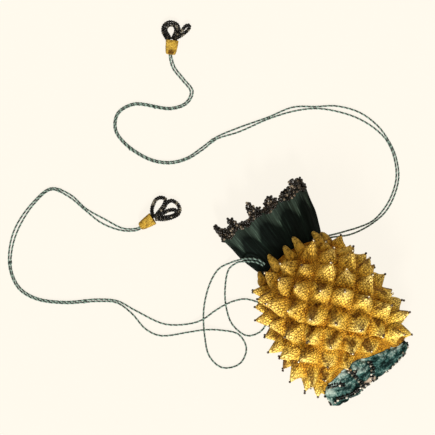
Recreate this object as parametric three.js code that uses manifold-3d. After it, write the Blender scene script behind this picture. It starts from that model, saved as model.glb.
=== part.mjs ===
// A knitted reticule in the form of a pineapple. It lies on its side, with its two doubled
// drawstrings laid out beside it, each ending in a small tassel of bead loops.
// Millimetres, +Z up. The bag's axis runs along Y with the mouth at +Y, and the origin is the
// middle of the flat underside that the bag rests on.

import * as THREE from 'three';
import { mergeVertices } from 'three/addons/utils/BufferGeometryUtils.js';
import Module from 'manifold-3d';

const wasm = await Module();
wasm.setup();

const degrees = Math.PI / 180;
const { clamp, lerp } = THREE.MathUtils;
const upwards = new THREE.Vector3(0, 0, 1);

// Walls and the clear gap between neighbouring pieces
const knitWall = 2.4;
const leafWall = 1.8;
const calyxWall = 2.0;
const clearGap = 0.4;

// Spikes: four-sided knitted points in a diamond lattice
const spikesAround = 10;
const columnsPerSpike = 4;
const stepsPerRow = 2;
const flankShare = 0.4;             // height half way down a flank, as a share of the spike
const firstSpike = 5.1 * degrees;   // how far the first spike of an odd row stands from the top
const squashHeight = 12;            // a spike whose foot is lower than this is pressed flatter

// Cross-sections
const crowding = 0.12;              // columns crowd together at the top by this share
const cornerRate = 1.35;            // how soon the side turns into the flat underside
const aheadPower = 1.5;             // how fast the top's lead over the sides fades round the section

// Leaf crown
const leavesAround = 10;
const columnsPerLeaf = 4;
const firstLeaf = -9 * degrees;
const fluteDepth = 1.6;
const leafScallop = 1.5;
const edgingSwell = 0.3;            // the beaded band is this much thicker than the leaf on each face

// Drawstrings and tassels
const layAngle = 33.2 * degrees;    // the drawstrings are laid out in a frame turned by this angle
const strandDiameter = 1.3;
const strandSides = 8;
const strandSteps = 60;
const beadStringDiameter = 2.2;
const bundleWidth = 5.4;
const bundleHeight = 2.6;
const capFlatness = 0.8;            // the tassel caps lie slightly flattened

// Body, a station for each row of spikes from the base rim to the neck: the place of the sides on
// the axis, the lead of the top over the sides, the lead of the right side, the half width, the
// heights of the top, of the widest line and of the underside, and how far the spikes stand out.
const bodyStations = [
  { along: -69.5, ahead: 12.5, skew: 3.5, half: 42, crest: 44, waist: 15, floor: 0, spike: 0 },
  { along: -54, ahead: 8, skew: 0.5, half: 44.5, crest: 50, waist: 19, floor: 0, spike: 9.5 },
  { along: -41, ahead: 6, skew: 0, half: 47, crest: 57, waist: 22, floor: 0, spike: 11.8 },
  { along: -28, ahead: 5.5, skew: 0, half: 48.7, crest: 62.5, waist: 24, floor: 0, spike: 12.5 },
  { along: -15.5, ahead: 6, skew: 0, half: 49.5, crest: 65.3, waist: 25, floor: 0, spike: 12.5 },
  { along: -3, ahead: 7, skew: 0, half: 49.5, crest: 65, waist: 25, floor: 0, spike: 12.5 },
  { along: 9.5, ahead: 8, skew: 0, half: 48.3, crest: 62, waist: 24, floor: 0, spike: 12.5 },
  { along: 22, ahead: 8.5, skew: 0, half: 45.5, crest: 57.5, waist: 23, floor: 0, spike: 12.5 },
  { along: 34, ahead: 8, skew: 0, half: 41.5, crest: 50.5, waist: 21, floor: 0, spike: 12 },
  { along: 45.5, ahead: 6.5, skew: 0, half: 36.5, crest: 41, waist: 18.5, floor: 1.5, spike: 11 },
  { along: 54, ahead: 9.5, skew: 0, half: 32.5, crest: 31.8, waist: 17, floor: 5, spike: 0 },
];

// Leaf crown, from its end inside the neck to its edge at the mouth, in the same columns
const crownStations = [
  { along: 47, ahead: 5, skew: 0, half: 28.6, crest: 26, waist: 16, floor: 8.6 },
  { along: 54, ahead: 6, skew: 0, half: 29.4, crest: 26.6, waist: 16, floor: 8 },
  { along: 61, ahead: 6, skew: 0, half: 33, crest: 28.5, waist: 14, floor: 4 },
  { along: 70, ahead: 5, skew: 0, half: 36.2, crest: 28.3, waist: 12, floor: 0.8 },
  { along: 81, ahead: 3.5, skew: 0, half: 39.6, crest: 26.4, waist: 10.6, floor: 0 },
  { along: 93, ahead: 2, skew: 0, half: 41.4, crest: 24.2, waist: 10, floor: 0 },
  { along: 104, ahead: 1, skew: 0, half: 43.8, crest: 23, waist: 10, floor: 0 },
];

// Pointed tabs round the neck: where each stands round the section, its radius at the root and the
// tip, how high both are above the cloth, the root's station on the body, and the tip's station on
// the crown at the sides
const neckTabAngles = [-104, -72, -31, -2, 18, 55, 76, 110];
const neckTab = {
  root: 3.4, tip: 0.8, rootLift: 1.2, tipLift: 3.2, rootStation: 9.7, tipStation: 1.9, sides: 5,
};

// How far each spike's point leans as the bag lies, to the right and upwards in the frame of the
// laid-out drawstrings. The first number is the spike's row, the second its place in the row.
const spikeLeans = {
  1: { 0: [-5.5, -1.5], 1: [3, 2], 2: [-0.6, -5], 7: [6, -1], 8: [-2, 2], 9: [-3, -1] },
  2: { 0: [-5.5, -4.5], 1: [-3, -5.5], 2: [0, 3.5], 7: [6, -5], 8: [2.5, -5], 9: [-2.4, -0.7] },
  3: { 0: [-4, -4.5], 1: [0, 3], 2: [-1.5, 0.6], 7: [1.6, -4.3], 8: [-5, 4.5], 9: [-3.4, -1.5] },
  4: { 0: [-3, -4.3], 1: [-2.3, 2.7], 2: [0, -4.6], 7: [4.8, -4.3], 8: [-4, 0], 9: [-2.2, -2] },
  5: { 0: [0, 0.4], 1: [-4, 3], 2: [-2, 1], 7: [-2, -1.5], 8: [-1.3, -1], 9: [-3.5, -5.5] },
  6: { 0: [0.5, -1.7], 1: [-2.7, 2.3], 2: [-3.4, 4], 8: [-1, 2.7], 9: [-1, -1.2] },
  7: { 0: [5.3, 2.4], 1: [0, 2.7], 2: [-1.5, -3], 7: [-2.2, 0.3], 8: [-3.7, 2], 9: [-1, -1.4] },
  8: { 0: [0, -3.8], 1: [4, -0.5], 2: [4, -4], 9: [2.2, 0.8] },
  9: { 0: [5.5, 5.5], 1: [-1, -4], 8: [0, 5], 9: [-1.8, -2.6] },
};

// The base's edge on the body: the turn in degrees, and the place between the body's first stations
const calyxEdge = [
  [-180, 0.1], [-120, 0.15], [-89, 0.55], [-75, 0.74], [-58, 0.74], [-37, 0.68], [-15, 0.72],
  [-3, 0.66], [12, 0.3], [30, 0.12], [60, 0.08], [85, 0.45], [110, 0.2], [180, 0.1],
];
const calyxCorner = 1.2;            // the base turns inwards this far past the body's first station

// The base disc's middle, and how far the disc swells out below and above it
const calyxCentre = new THREE.Vector3(-6, -74.5, 15);
const calyxRings = 4;
const calyxSwell = { below: 3.2, above: 2.6 };

// Bead band at the mouth: its gap to the leaves, how far its shoulder stands out, and its edge over
// each column of a leaf
const edgingGap = 0.7;
const edgingShoulder = 3;
const edgingReach = [9.5, 6, 4.5, 6];
const edgingRows = 2;

// Routes of the drawstrings in the lay-out frame. Where two strands run together the route is the
// line between them, and spread is the distance from one strand's middle to the other's.
const rightPair = [
  { x: -4.4, y: 65.6, z: 15, spread: 2 },
  { x: -0.6, y: 66, z: 15, spread: 2 },
  { x: 5, y: 67, z: 11.5, spread: 2.2 },
  { x: 12, y: 68.2, z: 6, spread: 3.2 },
  { x: 19, y: 69.8, z: 1.8, spread: 4 },
  { x: 28, y: 72.8, z: 0, spread: 3.4 },
  { x: 41, y: 79.4, z: 0, spread: 1.7 },
  { x: 51.5, y: 89.4, z: 0, spread: 2.6 },
  { x: 59, y: 102.5, z: 0, spread: 2.4 },
  { x: 63.4, y: 120, z: 0, spread: 2.2 },
  { x: 60.6, y: 139.5, z: 0, spread: 1.8 },
  { x: 54, y: 153.5, z: 0, spread: 1.6 },
  { x: 44, y: 165, z: 0, spread: 3.6 },
  { x: 28, y: 175.6, z: 0, spread: 5.4 },
  { x: 8, y: 181.5, z: 0, spread: 4.6 },
  { x: -10, y: 182.4, z: 0, spread: 1.7 },
  { x: -30, y: 181, z: 0, spread: 3.6 },
  { x: -53, y: 172.9, z: 0, spread: 1.6 },
  { x: -80, y: 162.2, z: 0, spread: 3.6 },
  { x: -100, y: 154.6, z: 0, spread: 1.7 },
  { x: -112, y: 145.6, z: 0, spread: 2.1 },
  { x: -126, y: 136.6, z: 0, spread: 1.6 },
  { x: -142, y: 132.8, z: 0, spread: 1.7 },
  { x: -160, y: 136, z: 0, spread: 1.6 },
  { x: -182, y: 150.3, z: 0, spread: 1.6 },
  { x: -190.4, y: 163, z: 0, spread: 1.6 },
  { x: -188.2, y: 177, z: 0, spread: 1.6 },
  { x: -174, y: 185.4, z: 0, spread: 1.6 },
  { x: -140, y: 181.6, z: 0, spread: 1.6 },
  { x: -126, y: 187, z: 0, spread: 1.8 },
  { x: -121.8, y: 197, z: 0, spread: 2.3 },
  { x: -129.5, y: 207.5, z: 0, spread: 2.1 },
  { x: -138, y: 218.5, z: 0.3, spread: 2.2 },
  { x: -140.9, y: 229.4, z: 2.2, spread: 1.7 },
];

const leftLoopA = [
  { x: -55.8, y: 41.6, z: 26 },
  { x: -62, y: 45.7, z: 26.4 },
  { x: -71, y: 46.8, z: 22.4 },
  { x: -80.8, y: 45, z: 9.5 },
  { x: -86.5, y: 43, z: 2 },
  { x: -97, y: 37.6, z: 0 },
  { x: -105, y: 25, z: 0 },
  { x: -110.8, y: 2, z: 0 },
  { x: -110, y: -24, z: 0 },
  { x: -105.5, y: -42, z: 0 },
  { x: -94, y: -51.6, z: 0 },
  { x: -78.5, y: -48, z: 0 },
  { x: -72.6, y: -34.5, z: 0 },
  { x: -79.5, y: -21.8, z: 0 },
  { x: -96, y: -17.9, z: 0 },
  { x: -110.6, y: -17.6, z: 1.5 },
  { x: -124, y: -19.6, z: 0 },
  { x: -150, y: -22.8, z: 0 },
  { x: -163, y: -17, z: 0 },
  { x: -176, y: -2.6, z: 0 },
];

const leftLoopB = [
  { x: -57.6, y: 40.4, z: 24.8 },
  { x: -64, y: 43.6, z: 24 },
  { x: -75, y: 44, z: 15.5 },
  { x: -82, y: 42.4, z: 4.4 },
  { x: -88.6, y: 36.5, z: 0 },
  { x: -91.8, y: 18, z: 0 },
  { x: -90.4, y: 1, z: 0 },
  { x: -85, y: -13, z: 0 },
  { x: -72, y: -22.8, z: 0 },
  { x: -59.5, y: -18.8, z: 0 },
  { x: -53.5, y: -8, z: 0 },
  { x: -55, y: 2.6, z: 0 },
  { x: -72, y: 10, z: 0 },
  { x: -82.5, y: 8.7, z: 0.1 },
  { x: -91.4, y: 5.2, z: 1.5 },
  { x: -101, y: -0.6, z: 0.2 },
  { x: -111.8, y: -8.2, z: 1.5 },
  { x: -123, y: -12, z: 0 },
  { x: -146, y: -12.4, z: 0 },
  { x: -172, y: -0.4, z: 0 },
];

const leftPair = [
  { x: -189, y: 7.6, z: 0, spread: 1.8 },
  { x: -206, y: 9, z: 0, spread: 1.9 },
  { x: -236, y: 7, z: 0, spread: 1.6 },
  { x: -262, y: 10.6, z: 0, spread: 1.6 },
  { x: -277, y: 20, z: 0, spread: 1.8 },
  { x: -284.6, y: 36, z: 0, spread: 1.6 },
  { x: -284.8, y: 54, z: 0, spread: 2.4 },
  { x: -279, y: 74, z: 0, spread: 3 },
  { x: -264, y: 96.6, z: 0, spread: 1.8 },
  { x: -248, y: 109.2, z: 0, spread: 1.6 },
  { x: -231.5, y: 103, z: 0, spread: 2.3 },
  { x: -217.5, y: 91, z: 0, spread: 1.6 },
  { x: -201, y: 80, z: 0, spread: 4.4 },
  { x: -183, y: 72.6, z: 0, spread: 2 },
  { x: -169.6, y: 73.4, z: 1.2, spread: 1.7 },
];

// Tassel caps in the lay-out frame: the middle of the end that the cord enters, the way the cap
// points, its length, and its radius at the cord's end and at the mouth
const tasselCaps = {
  right: { x: -140.8, y: 230, turn: 83 * degrees, length: 13.2, neck: 4.2, mouth: 5.6 },
  left: { x: -168.2, y: 75.2, turn: 32.5 * degrees, length: 13.6, neck: 3.3, mouth: 5.3 },
};
const capWall = 1.2;
const capRecess = 3;
const capRound = 0.8;
const capSides = 16;
const headReach = 1.6;              // how far the head of the loops stands out of its cap
const headSides = 12;

// Bead loops in the lay-out frame. A bundle is several strings side by side.
const tasselLoops = {
  right: [
    { bundle: true, points: [
      [-140.8, 244.7, 3.4], [-142.4, 247, 2], [-145.4, 250.6, 0.2], [-145.8, 253.6, 0],
      [-143.6, 256.4, 0], [-139.6, 257.2, 0], [-135.8, 254.8, 0], [-135.4, 250.6, 0.2],
      [-136.8, 247, 2], [-138, 244.7, 3.4]] },
    { bundle: false, points: [
      [-136.8, 244.8, 3.4], [-134, 247.8, 1.8], [-129.4, 253.2, 0], [-126.4, 256.2, 0],
      [-124.2, 256.2, 0], [-124.2, 253.6, 0], [-128, 249.6, 0], [-132, 246.6, 1.6], [-136, 244.6, 3.4]] },
  ],
  left: [
    { bundle: false, points: [
      [-156.4, 84, 3.2], [-157.6, 89.6, 1.4], [-156.4, 95, 0], [-153.6, 99.8, 0],
      [-149, 101.5, 0], [-145.4, 99.6, 0], [-146.6, 95, 0], [-150, 90.2, 0.8], [-154.6, 84.4, 3.2]] },
    { bundle: false, points: [
      [-154.4, 84, 3.2], [-149, 88.6, 1.2], [-146.6, 92.6, 0], [-144, 96.8, 0],
      [-140, 98.6, 0], [-135.4, 96.4, 0], [-132.6, 91.4, 0], [-134, 86.6, 0],
      [-139.4, 83.6, 0], [-146, 82, 0.8], [-153.6, 82.2, 3.2]] },
    { bundle: false, points: [
      [-153.6, 83.4, 3.2], [-147.6, 87.2, 1.2], [-142.6, 89.8, 0], [-137.4, 90.4, 0],
      [-134.8, 88.6, 0], [-137, 86, 0], [-142, 84.2, 0.2], [-147.4, 83.6, 1.2], [-153.4, 82.8, 3.2]] },
  ],
};
const loopSides = 6;
const loopSteps = 15;

const finishes = {
  yellowKnit: new THREE.MeshStandardMaterial({ color: 0xc08f35, roughness: 0.85 }),
  darkLeaf: new THREE.MeshStandardMaterial({ color: 0x1c211a, roughness: 0.8 }),
  tealKnit: new THREE.MeshStandardMaterial({ color: 0x5f8a80, roughness: 0.85 }),
  darkBead: new THREE.MeshStandardMaterial({ color: 0x1d1510, roughness: 0.3 }),
  greenCord: new THREE.MeshStandardMaterial({ color: 0x56695c, roughness: 0.8 }),
};

// One row of a table at a place between its stations, on a smooth curve through them
function blendStations(table, station) {
  const low = clamp(Math.floor(station), 0, table.length - 2);
  const share = station - low;
  const rows = [low - 1, low, low + 1, low + 2].map((row) => table[clamp(row, 0, table.length - 1)]);
  const blended = {};
  for (const column of Object.keys(table[0])) {
    const [a, b, c, d] = rows.map((row) => row[column]);
    const bend = (2 * a - 5 * b + 4 * c - d) * share ** 2 + (3 * (b - c) + d - a) * share ** 3;
    blended[column] = b + ((c - a) * share + bend) / 2;
  }
  return blended;
}

// A point of a cross-section, round above its widest line and rounded below it into a flat
// underside. The turn is counted from the top towards +X and crowds together there.
function sectionPoint(stations, turn, station) {
  const section = blendStations(stations, station);
  const angle = turn - crowding * Math.sin(turn);
  const above = Math.max(0, Math.cos(angle));
  const below = Math.min(1, Math.max(0, -Math.cos(angle)) * cornerRate);
  const rise = (section.crest - section.waist) * above;
  const drop = (section.waist - section.floor) * Math.sin(below * Math.PI / 2);
  return new THREE.Vector3(
    section.half * Math.sin(angle),
    section.along + section.ahead * above ** aheadPower + section.skew * Math.sin(angle),
    Math.max(0, section.waist + rise - drop),
  );
}

function sectionNormal(stations, turn, station) {
  const small = 0.002;
  const across = sectionPoint(stations, turn + small, station);
  across.sub(sectionPoint(stations, turn - small, station));
  const forward = sectionPoint(stations, turn, station + small);
  forward.sub(sectionPoint(stations, turn, station - small));
  return across.cross(forward).normalize();
}

// A point that stands out from the cross-section by a height, less so where the bag is pressed
// on the table
function raisedPoint(stations, turn, station, height, wall) {
  const foot = sectionPoint(stations, turn, station);
  const squash = clamp(foot.z / squashHeight, 0, 1);
  return foot.addScaledVector(sectionNormal(stations, turn, station), height * squash - wall);
}

// A closed wall between an outer and an inner grid of points, joined at both ends. Where a grid
// ends in one point, that end is closed.
function wallGeometry(columns, rows, outer, inner, slantsLeft) {
  const positions = [];
  const triangles = [];
  for (const face of [outer, inner]) {
    for (let row = 0; row <= rows; row += 1) {
      for (let column = 0; column < columns; column += 1) {
        positions.push(...face(column, row).toArray());
      }
    }
  }
  const innerStart = columns * (rows + 1);
  const spot = (start, column, row) => start + row * columns + (column % columns);
  for (let column = 0; column < columns; column += 1) {
    for (let row = 0; row < rows; row += 1) {
      for (const start of [0, innerStart]) {
        const a = spot(start, column, row);
        const b = spot(start, column + 1, row);
        const c = spot(start, column + 1, row + 1);
        const d = spot(start, column, row + 1);
        const pair = slantsLeft(column, row) ? [[a, b, d], [b, c, d]] : [[a, b, c], [a, c, d]];
        triangles.push(...pair.map((corners) => (start === 0 ? corners : corners.reverse())));
      }
    }
    for (const [row, order] of [[0, 1], [rows, 0]]) {
      const near = spot(0, column + order, row);
      const far = spot(0, column + 1 - order, row);
      triangles.push([near, far, far + innerStart], [near, far + innerStart, near + innerStart]);
    }
  }
  const geometry = new THREE.BufferGeometry();
  geometry.setAttribute('position', new THREE.Float32BufferAttribute(positions, 3));
  geometry.setIndex(triangles.flat());
  return withoutSlivers(geometry);
}

// Shared corners are merged, and triangles that lose a corner by it are dropped
function withoutSlivers(geometry) {
  const bare = geometry.clone();
  bare.deleteAttribute('normal');
  bare.deleteAttribute('uv');
  const merged = mergeVertices(bare, 1e-4);
  const corners = merged.index.array;
  const kept = [];
  for (let first = 0; first < corners.length; first += 3) {
    const [a, b, c] = corners.slice(first, first + 3);
    if (a !== b && b !== c && c !== a) kept.push(a, b, c);
  }
  merged.setIndex(kept);
  return merged;
}

function toSolid(geometry) {
  const merged = withoutSlivers(geometry);
  return new wasm.Manifold(new wasm.Mesh({
    numProp: 3,
    vertProperties: Float32Array.from(merged.attributes.position.array),
    triVerts: Uint32Array.from(merged.index.array),
  }));
}

// Several closed geometries joined into one
function fuse(geometries) {
  const mesh = geometries.map(toSolid).reduce((whole, piece) => whole.add(piece)).getMesh();
  const geometry = new THREE.BufferGeometry();
  const positions = Float32Array.from(mesh.vertProperties);
  geometry.setAttribute('position', new THREE.BufferAttribute(positions, 3));
  geometry.setIndex(Array.from(mesh.triVerts));
  return geometry;
}

function named(name, geometry, finish) {
  geometry.computeVertexNormals();
  const mesh = new THREE.Mesh(geometry, finish);
  mesh.name = name;
  return mesh;
}

// Yellow knitted body
const bodyColumns = spikesAround * columnsPerSpike;
const bodyRows = (bodyStations.length - 1) * stepsPerRow;
const bodyTurn = (column) => firstSpike + column * 2 * Math.PI / bodyColumns;

// Where the body starts at the base's edge, between its first two stations
function edgeStation(turn) {
  const angle = THREE.MathUtils.euclideanModulo(turn / degrees + 180, 360) - 180;
  const after = calyxEdge.findIndex(([limit]) => limit > angle);
  const [[from, start], [to, end]] = [calyxEdge[after - 1], calyxEdge[after]];
  return lerp(start, end, (angle - from) / (to - from));
}

function bodyStation(column, row) {
  const station = row / stepsPerRow;
  return station < 1 ? lerp(edgeStation(bodyTurn(column)), 1, station) : station;
}

// Height of a spike's surface at a corner of the grid, as a share, and the spike's lean: the
// diamonds of neighbouring spikes meet in valleys, and the rows at the rim and the neck stay flat
function spikeAt(column, row) {
  const halfSpike = columnsPerSpike / 2;
  let nearest = halfSpike;
  let lean = [0, 0];
  for (const step of [-1, 0, 1]) {
    const tipRow = row + step;
    if (tipRow % stepsPerRow !== 0 || tipRow <= 0 || tipRow >= bodyRows) continue;
    const spikeRow = tipRow / stepsPerRow;
    const place = (column - (spikeRow % 2) * halfSpike) / columnsPerSpike;
    const away = Math.abs(place - Math.round(place)) * columnsPerSpike + Math.abs(step);
    if (away >= nearest) continue;
    nearest = away;
    lean = spikeLeans[spikeRow][(Math.round(place) + spikesAround) % spikesAround] ?? [0, 0];
  }
  return { share: [1, flankShare, 0][nearest], lean };
}

function bodyPoint(column, row, wall) {
  const station = bodyStation(column, row);
  const { share, lean } = spikeAt(column, row);
  const height = blendStations(bodyStations, station).spike * share;
  const point = raisedPoint(bodyStations, bodyTurn(column), station, height, wall);
  return point.addScaledVector(new THREE.Vector3(...lean, 0).applyAxisAngle(upwards, -layAngle), share);
}

// A pointed tab that stands on the neck and leans over the crown, further at the top
function makeNeckTab(angle) {
  const turn = angle * degrees;
  const tipStation = neckTab.tipStation + Math.max(0, Math.cos(turn));
  const root = raisedPoint(bodyStations, turn, neckTab.rootStation, 0, -neckTab.rootLift);
  const tip = raisedPoint(crownStations, turn, tipStation, 0, -neckTab.tipLift);
  const reach = tip.clone().sub(root);
  const cone = new THREE.CylinderGeometry(neckTab.tip, neckTab.root, reach.length(), neckTab.sides);
  const lean = new THREE.Quaternion();
  lean.setFromUnitVectors(THREE.Object3D.DEFAULT_UP, reach.clone().normalize());
  cone.applyQuaternion(lean);
  cone.translate(...root.addScaledVector(reach, 0.5).toArray());
  return cone;
}

function makeBagBody() {
  const wall = wallGeometry(
    bodyColumns,
    bodyRows,
    (column, row) => bodyPoint(column, row, 0),
    (column, row) => bodyPoint(column, row, knitWall),
    (column, row) => (Math.floor(column / 2) + Math.floor(row / 2)) % 2 === 1,
  );
  return fuse([wall, ...neckTabAngles.map(makeNeckTab)]);
}

// Blue-green base: it goes on from the body's edge to a corner, and closes in a disc that swells
// out towards its middle
function makeBaseCalyx() {
  const ringPoint = (column, ring, wall, depth) => {
    const edge = bodyPoint(column, 0, wall);
    if (ring === 0) return edge.setY(edge.y - clearGap);
    const share = (ring - 1) / calyxRings;
    const corner = raisedPoint(bodyStations, bodyTurn(column), 0, 0, wall);
    const middle = calyxCentre.clone().setY(calyxCentre.y + depth);
    const top = Math.max(0, Math.cos(bodyTurn(column)));
    const swell = lerp(calyxSwell.below, calyxSwell.above, top);
    const point = corner.setY(corner.y - calyxCorner).lerp(middle, share);
    point.y -= swell * 4 * share * (1 - share);
    return point;
  };
  return wallGeometry(
    bodyColumns,
    calyxRings + 1,
    (column, ring) => ringPoint(column, ring, knitWall, calyxWall),
    (column, ring) => ringPoint(column, ring, 0, 0),
    () => false,
  );
}

// Dark green fluted crown and the bead band at its edge
const crownColumns = leavesAround * columnsPerLeaf;
const crownRows = crownStations.length - 1;
const crownTurn = (column) => firstLeaf + column * 2 * Math.PI / crownColumns;

function crownPoint(column, row, wall) {
  const wave = Math.cos(column * 2 * Math.PI / columnsPerLeaf);
  const open = Math.max(0, row - 1) / (crownRows - 1);
  const point = raisedPoint(crownStations, crownTurn(column), row, fluteDepth * wave * open, wall);
  if (row === crownRows) point.y += leafScallop * wave;
  return point;
}

function makeLeafCrown() {
  return wallGeometry(
    crownColumns,
    crownRows,
    (column, row) => crownPoint(column, row, 0),
    (column, row) => crownPoint(column, row, leafWall),
    () => false,
  );
}

function makeCrownEdging() {
  const bandPoint = (column, row, wall) => {
    const reach = [edgingGap, edgingShoulder, edgingReach[column % columnsPerLeaf]][row];
    const point = crownPoint(column, crownRows, wall);
    point.y += reach;
    point.z = Math.max(point.z, 0);
    return point;
  };
  return wallGeometry(
    crownColumns,
    edgingRows,
    (column, row) => bandPoint(column, row, -edgingSwell),
    (column, row) => bandPoint(column, row, leafWall + edgingSwell),
    () => false,
  );
}

// A cord or bead string that lies on the table: a smooth curve through its points, with more steps
// where the points are closer together and no part of it below the table
class LaidCurve extends THREE.CatmullRomCurve3 {
  constructor(points, lowest) {
    super(points, false, 'centripetal');
    this.lowest = lowest;
  }

  getPoint(share, target) {
    const point = super.getPoint(share, target);
    point.z = Math.max(point.z, this.lowest);
    return point;
  }

  getUtoTmapping(share) {
    return share;
  }
}

function tube(points, height, width, sides, steps) {
  const outline = new THREE.Shape();
  for (let side = 0; side < sides; side += 1) {
    const angle = (side + 0.5) * 2 * Math.PI / sides;
    const corner = [height / 2 * Math.cos(angle), width / 2 * Math.sin(angle)];
    if (side === 0) outline.moveTo(...corner);
    else outline.lineTo(...corner);
  }
  outline.closePath();
  const route = new LaidCurve(points, height / 2);
  return new THREE.ExtrudeGeometry(outline, { steps, extrudePath: route });
}

// The points of one strand of a pair, on one side of the line between the strands
function strandOfPair(pair, side) {
  return pair.map((spot, index) => {
    const before = pair[Math.max(index - 1, 0)];
    const after = pair[Math.min(index + 1, pair.length - 1)];
    const run = new THREE.Vector2(after.x - before.x, after.y - before.y).normalize();
    const shift = side * spot.spread / 2;
    return { x: spot.x - run.y * shift, y: spot.y + run.x * shift, z: spot.z };
  });
}

function makeStrand(route) {
  const points = route.map((spot) => new THREE.Vector3(spot.x, spot.y, spot.z + strandDiameter / 2));
  return withoutSlivers(tube(points, strandDiameter, strandDiameter, strandSides, strandSteps));
}

// A turned shape that lies with its axis along a tassel cap, slightly flattened
function layOnCap(geometry, cap) {
  const tilt = Math.atan2((cap.mouth - cap.neck) * capFlatness, cap.length);
  geometry.scale(1, 1, capFlatness);
  geometry.rotateX(tilt);
  geometry.rotateZ(cap.turn - Math.PI / 2);
  geometry.translate(cap.x, cap.y, cap.neck * capFlatness + capRound / 2);
  return geometry;
}

function makeTasselCap(cap) {
  const profile = [
    [0, 0],
    [cap.neck - capRound, 0],
    [cap.neck, capRound],
    [cap.mouth, cap.length],
    [cap.mouth - capWall, cap.length],
    [cap.mouth - capWall, cap.length - capRecess],
    [0, cap.length - capRecess],
  ];
  const corners = profile.map(([radius, along]) => new THREE.Vector2(radius, along));
  return withoutSlivers(layOnCap(new THREE.LatheGeometry(corners, capSides), cap));
}

function makeTasselLoops(cap, loops) {
  const headRadius = cap.mouth - capWall - clearGap;
  const headLength = capRecess + headReach;
  const head = new THREE.CylinderGeometry(headRadius, headRadius, headLength, headSides);
  head.translate(0, cap.length - capRecess + clearGap + headLength / 2, 0);
  const strings = loops.map((loop) => {
    const height = loop.bundle ? bundleHeight : beadStringDiameter;
    const width = loop.bundle ? bundleWidth : beadStringDiameter;
    const points = loop.points.map(([x, y, z]) => new THREE.Vector3(x, y, z + height / 2));
    return tube(points, height, width, loopSides, loopSteps);
  });
  return fuse([layOnCap(head, cap), ...strings]);
}

const reticule = new THREE.Group();
reticule.add(
  named('bag_body', makeBagBody(), finishes.yellowKnit),
  named('base_calyx', makeBaseCalyx(), finishes.tealKnit),
  named('leaf_crown', makeLeafCrown(), finishes.darkLeaf),
  named('crown_edging', makeCrownEdging(), finishes.darkBead),
);

const laidOut = new THREE.Group();
laidOut.rotation.z = -layAngle;
reticule.add(laidOut);

const strandRoutes = {
  right_strand_a: strandOfPair(rightPair, 1),
  right_strand_b: strandOfPair(rightPair, -1),
  left_strand_a: [...leftLoopA, ...strandOfPair(leftPair, 1)],
  left_strand_b: [...leftLoopB, ...strandOfPair(leftPair, -1)],
};
for (const [name, route] of Object.entries(strandRoutes)) {
  laidOut.add(named(name, makeStrand(route), finishes.greenCord));
}
for (const side of ['right', 'left']) {
  const cap = tasselCaps[side];
  laidOut.add(
    named(`${side}_tassel_cap`, makeTasselCap(cap), finishes.yellowKnit),
    named(`${side}_tassel_loops`, makeTasselLoops(cap, tasselLoops[side]), finishes.darkBead),
  );
}

export default reticule;
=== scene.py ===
import math
import random

import bmesh
import bpy
from mathutils import Matrix, Vector, noise
from mathutils.bvhtree import BVHTree


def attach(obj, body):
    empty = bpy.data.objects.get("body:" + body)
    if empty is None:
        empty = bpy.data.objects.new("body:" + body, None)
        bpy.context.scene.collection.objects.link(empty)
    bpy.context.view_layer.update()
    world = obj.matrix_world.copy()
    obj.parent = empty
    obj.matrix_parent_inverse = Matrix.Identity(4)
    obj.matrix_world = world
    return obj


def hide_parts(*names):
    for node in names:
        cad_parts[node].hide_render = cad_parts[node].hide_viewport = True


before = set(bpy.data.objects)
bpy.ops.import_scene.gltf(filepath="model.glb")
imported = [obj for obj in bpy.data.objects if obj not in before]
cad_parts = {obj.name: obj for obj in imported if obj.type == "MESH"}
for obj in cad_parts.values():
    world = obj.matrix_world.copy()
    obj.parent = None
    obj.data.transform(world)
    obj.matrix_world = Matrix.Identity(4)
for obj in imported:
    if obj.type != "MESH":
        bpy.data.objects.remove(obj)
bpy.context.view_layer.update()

scene = bpy.context.scene
fullTurn = 2 * math.pi
print("frame loaded with", len(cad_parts), "nodes")

# the picture is taken from straight above, and its upright leans against the bag's axis
photoCamera = {
    "layAngle": math.radians(33.2),
    "middle": (-0.09855, 0.0835),  # lay-out spot under the middle of the picture
    "width": 0.3915,               # floor from edge to edge of the picture
    "height": 5.0,
    "sensor": 36.0,
    "clip": 50.0,
}


def layOut(x, y, z=0.0):
    # a spot of the lay-out of the cords, in the bag's own frame
    turn = photoCamera["layAngle"]
    across = x * math.cos(turn) + y * math.sin(turn)
    return Vector((across, y * math.cos(turn) - x * math.sin(turn), z))


def addCamera():
    data = bpy.data.cameras.new("photoCamera")
    data.sensor_width = photoCamera["sensor"]
    data.lens = photoCamera["sensor"] * photoCamera["height"] / photoCamera["width"]
    data.clip_end = photoCamera["clip"]
    camera = bpy.data.objects.new("photoCamera", data)
    camera.location = layOut(*photoCamera["middle"], photoCamera["height"])
    camera.rotation_euler = (0.0, 0.0, -photoCamera["layAngle"])
    scene.collection.objects.link(camera)
    scene.camera = camera


addCamera()


# small helpers for node trees and meshes
def node(tree, kind, inputs=None, **settings):
    made = tree.nodes.new("ShaderNode" + kind)
    for name, value in settings.items():
        setattr(made, name, value)
    for key, value in (inputs or {}).items():
        if isinstance(value, bpy.types.NodeSocket):
            tree.links.new(value, made.inputs[key])
        else:
            made.inputs[key].default_value = value
    return made


def maths(tree, operation, first, second=0.0, third=0.0):
    inputs = {0: first, 1: second, 2: third}
    return node(tree, "Math", inputs, operation=operation).outputs[0]


def shaken(tree, base, value, swing):
    # the base, moved up or down by a value that lies about one half
    return maths(tree, "MULTIPLY_ADD", maths(tree, "SUBTRACT", value, 0.5), swing, base)


def markOf(tree, name):
    # value of the mesh's layer of this name
    return node(tree, "Attribute", attribute_name=name).outputs["Fac"]


def mixColours(tree, share, first, second, blend="MIX"):
    inputs = {0: share, 6: first, 7: second}
    return node(tree, "Mix", inputs, data_type="RGBA", blend_type=blend).outputs[2]


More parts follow.
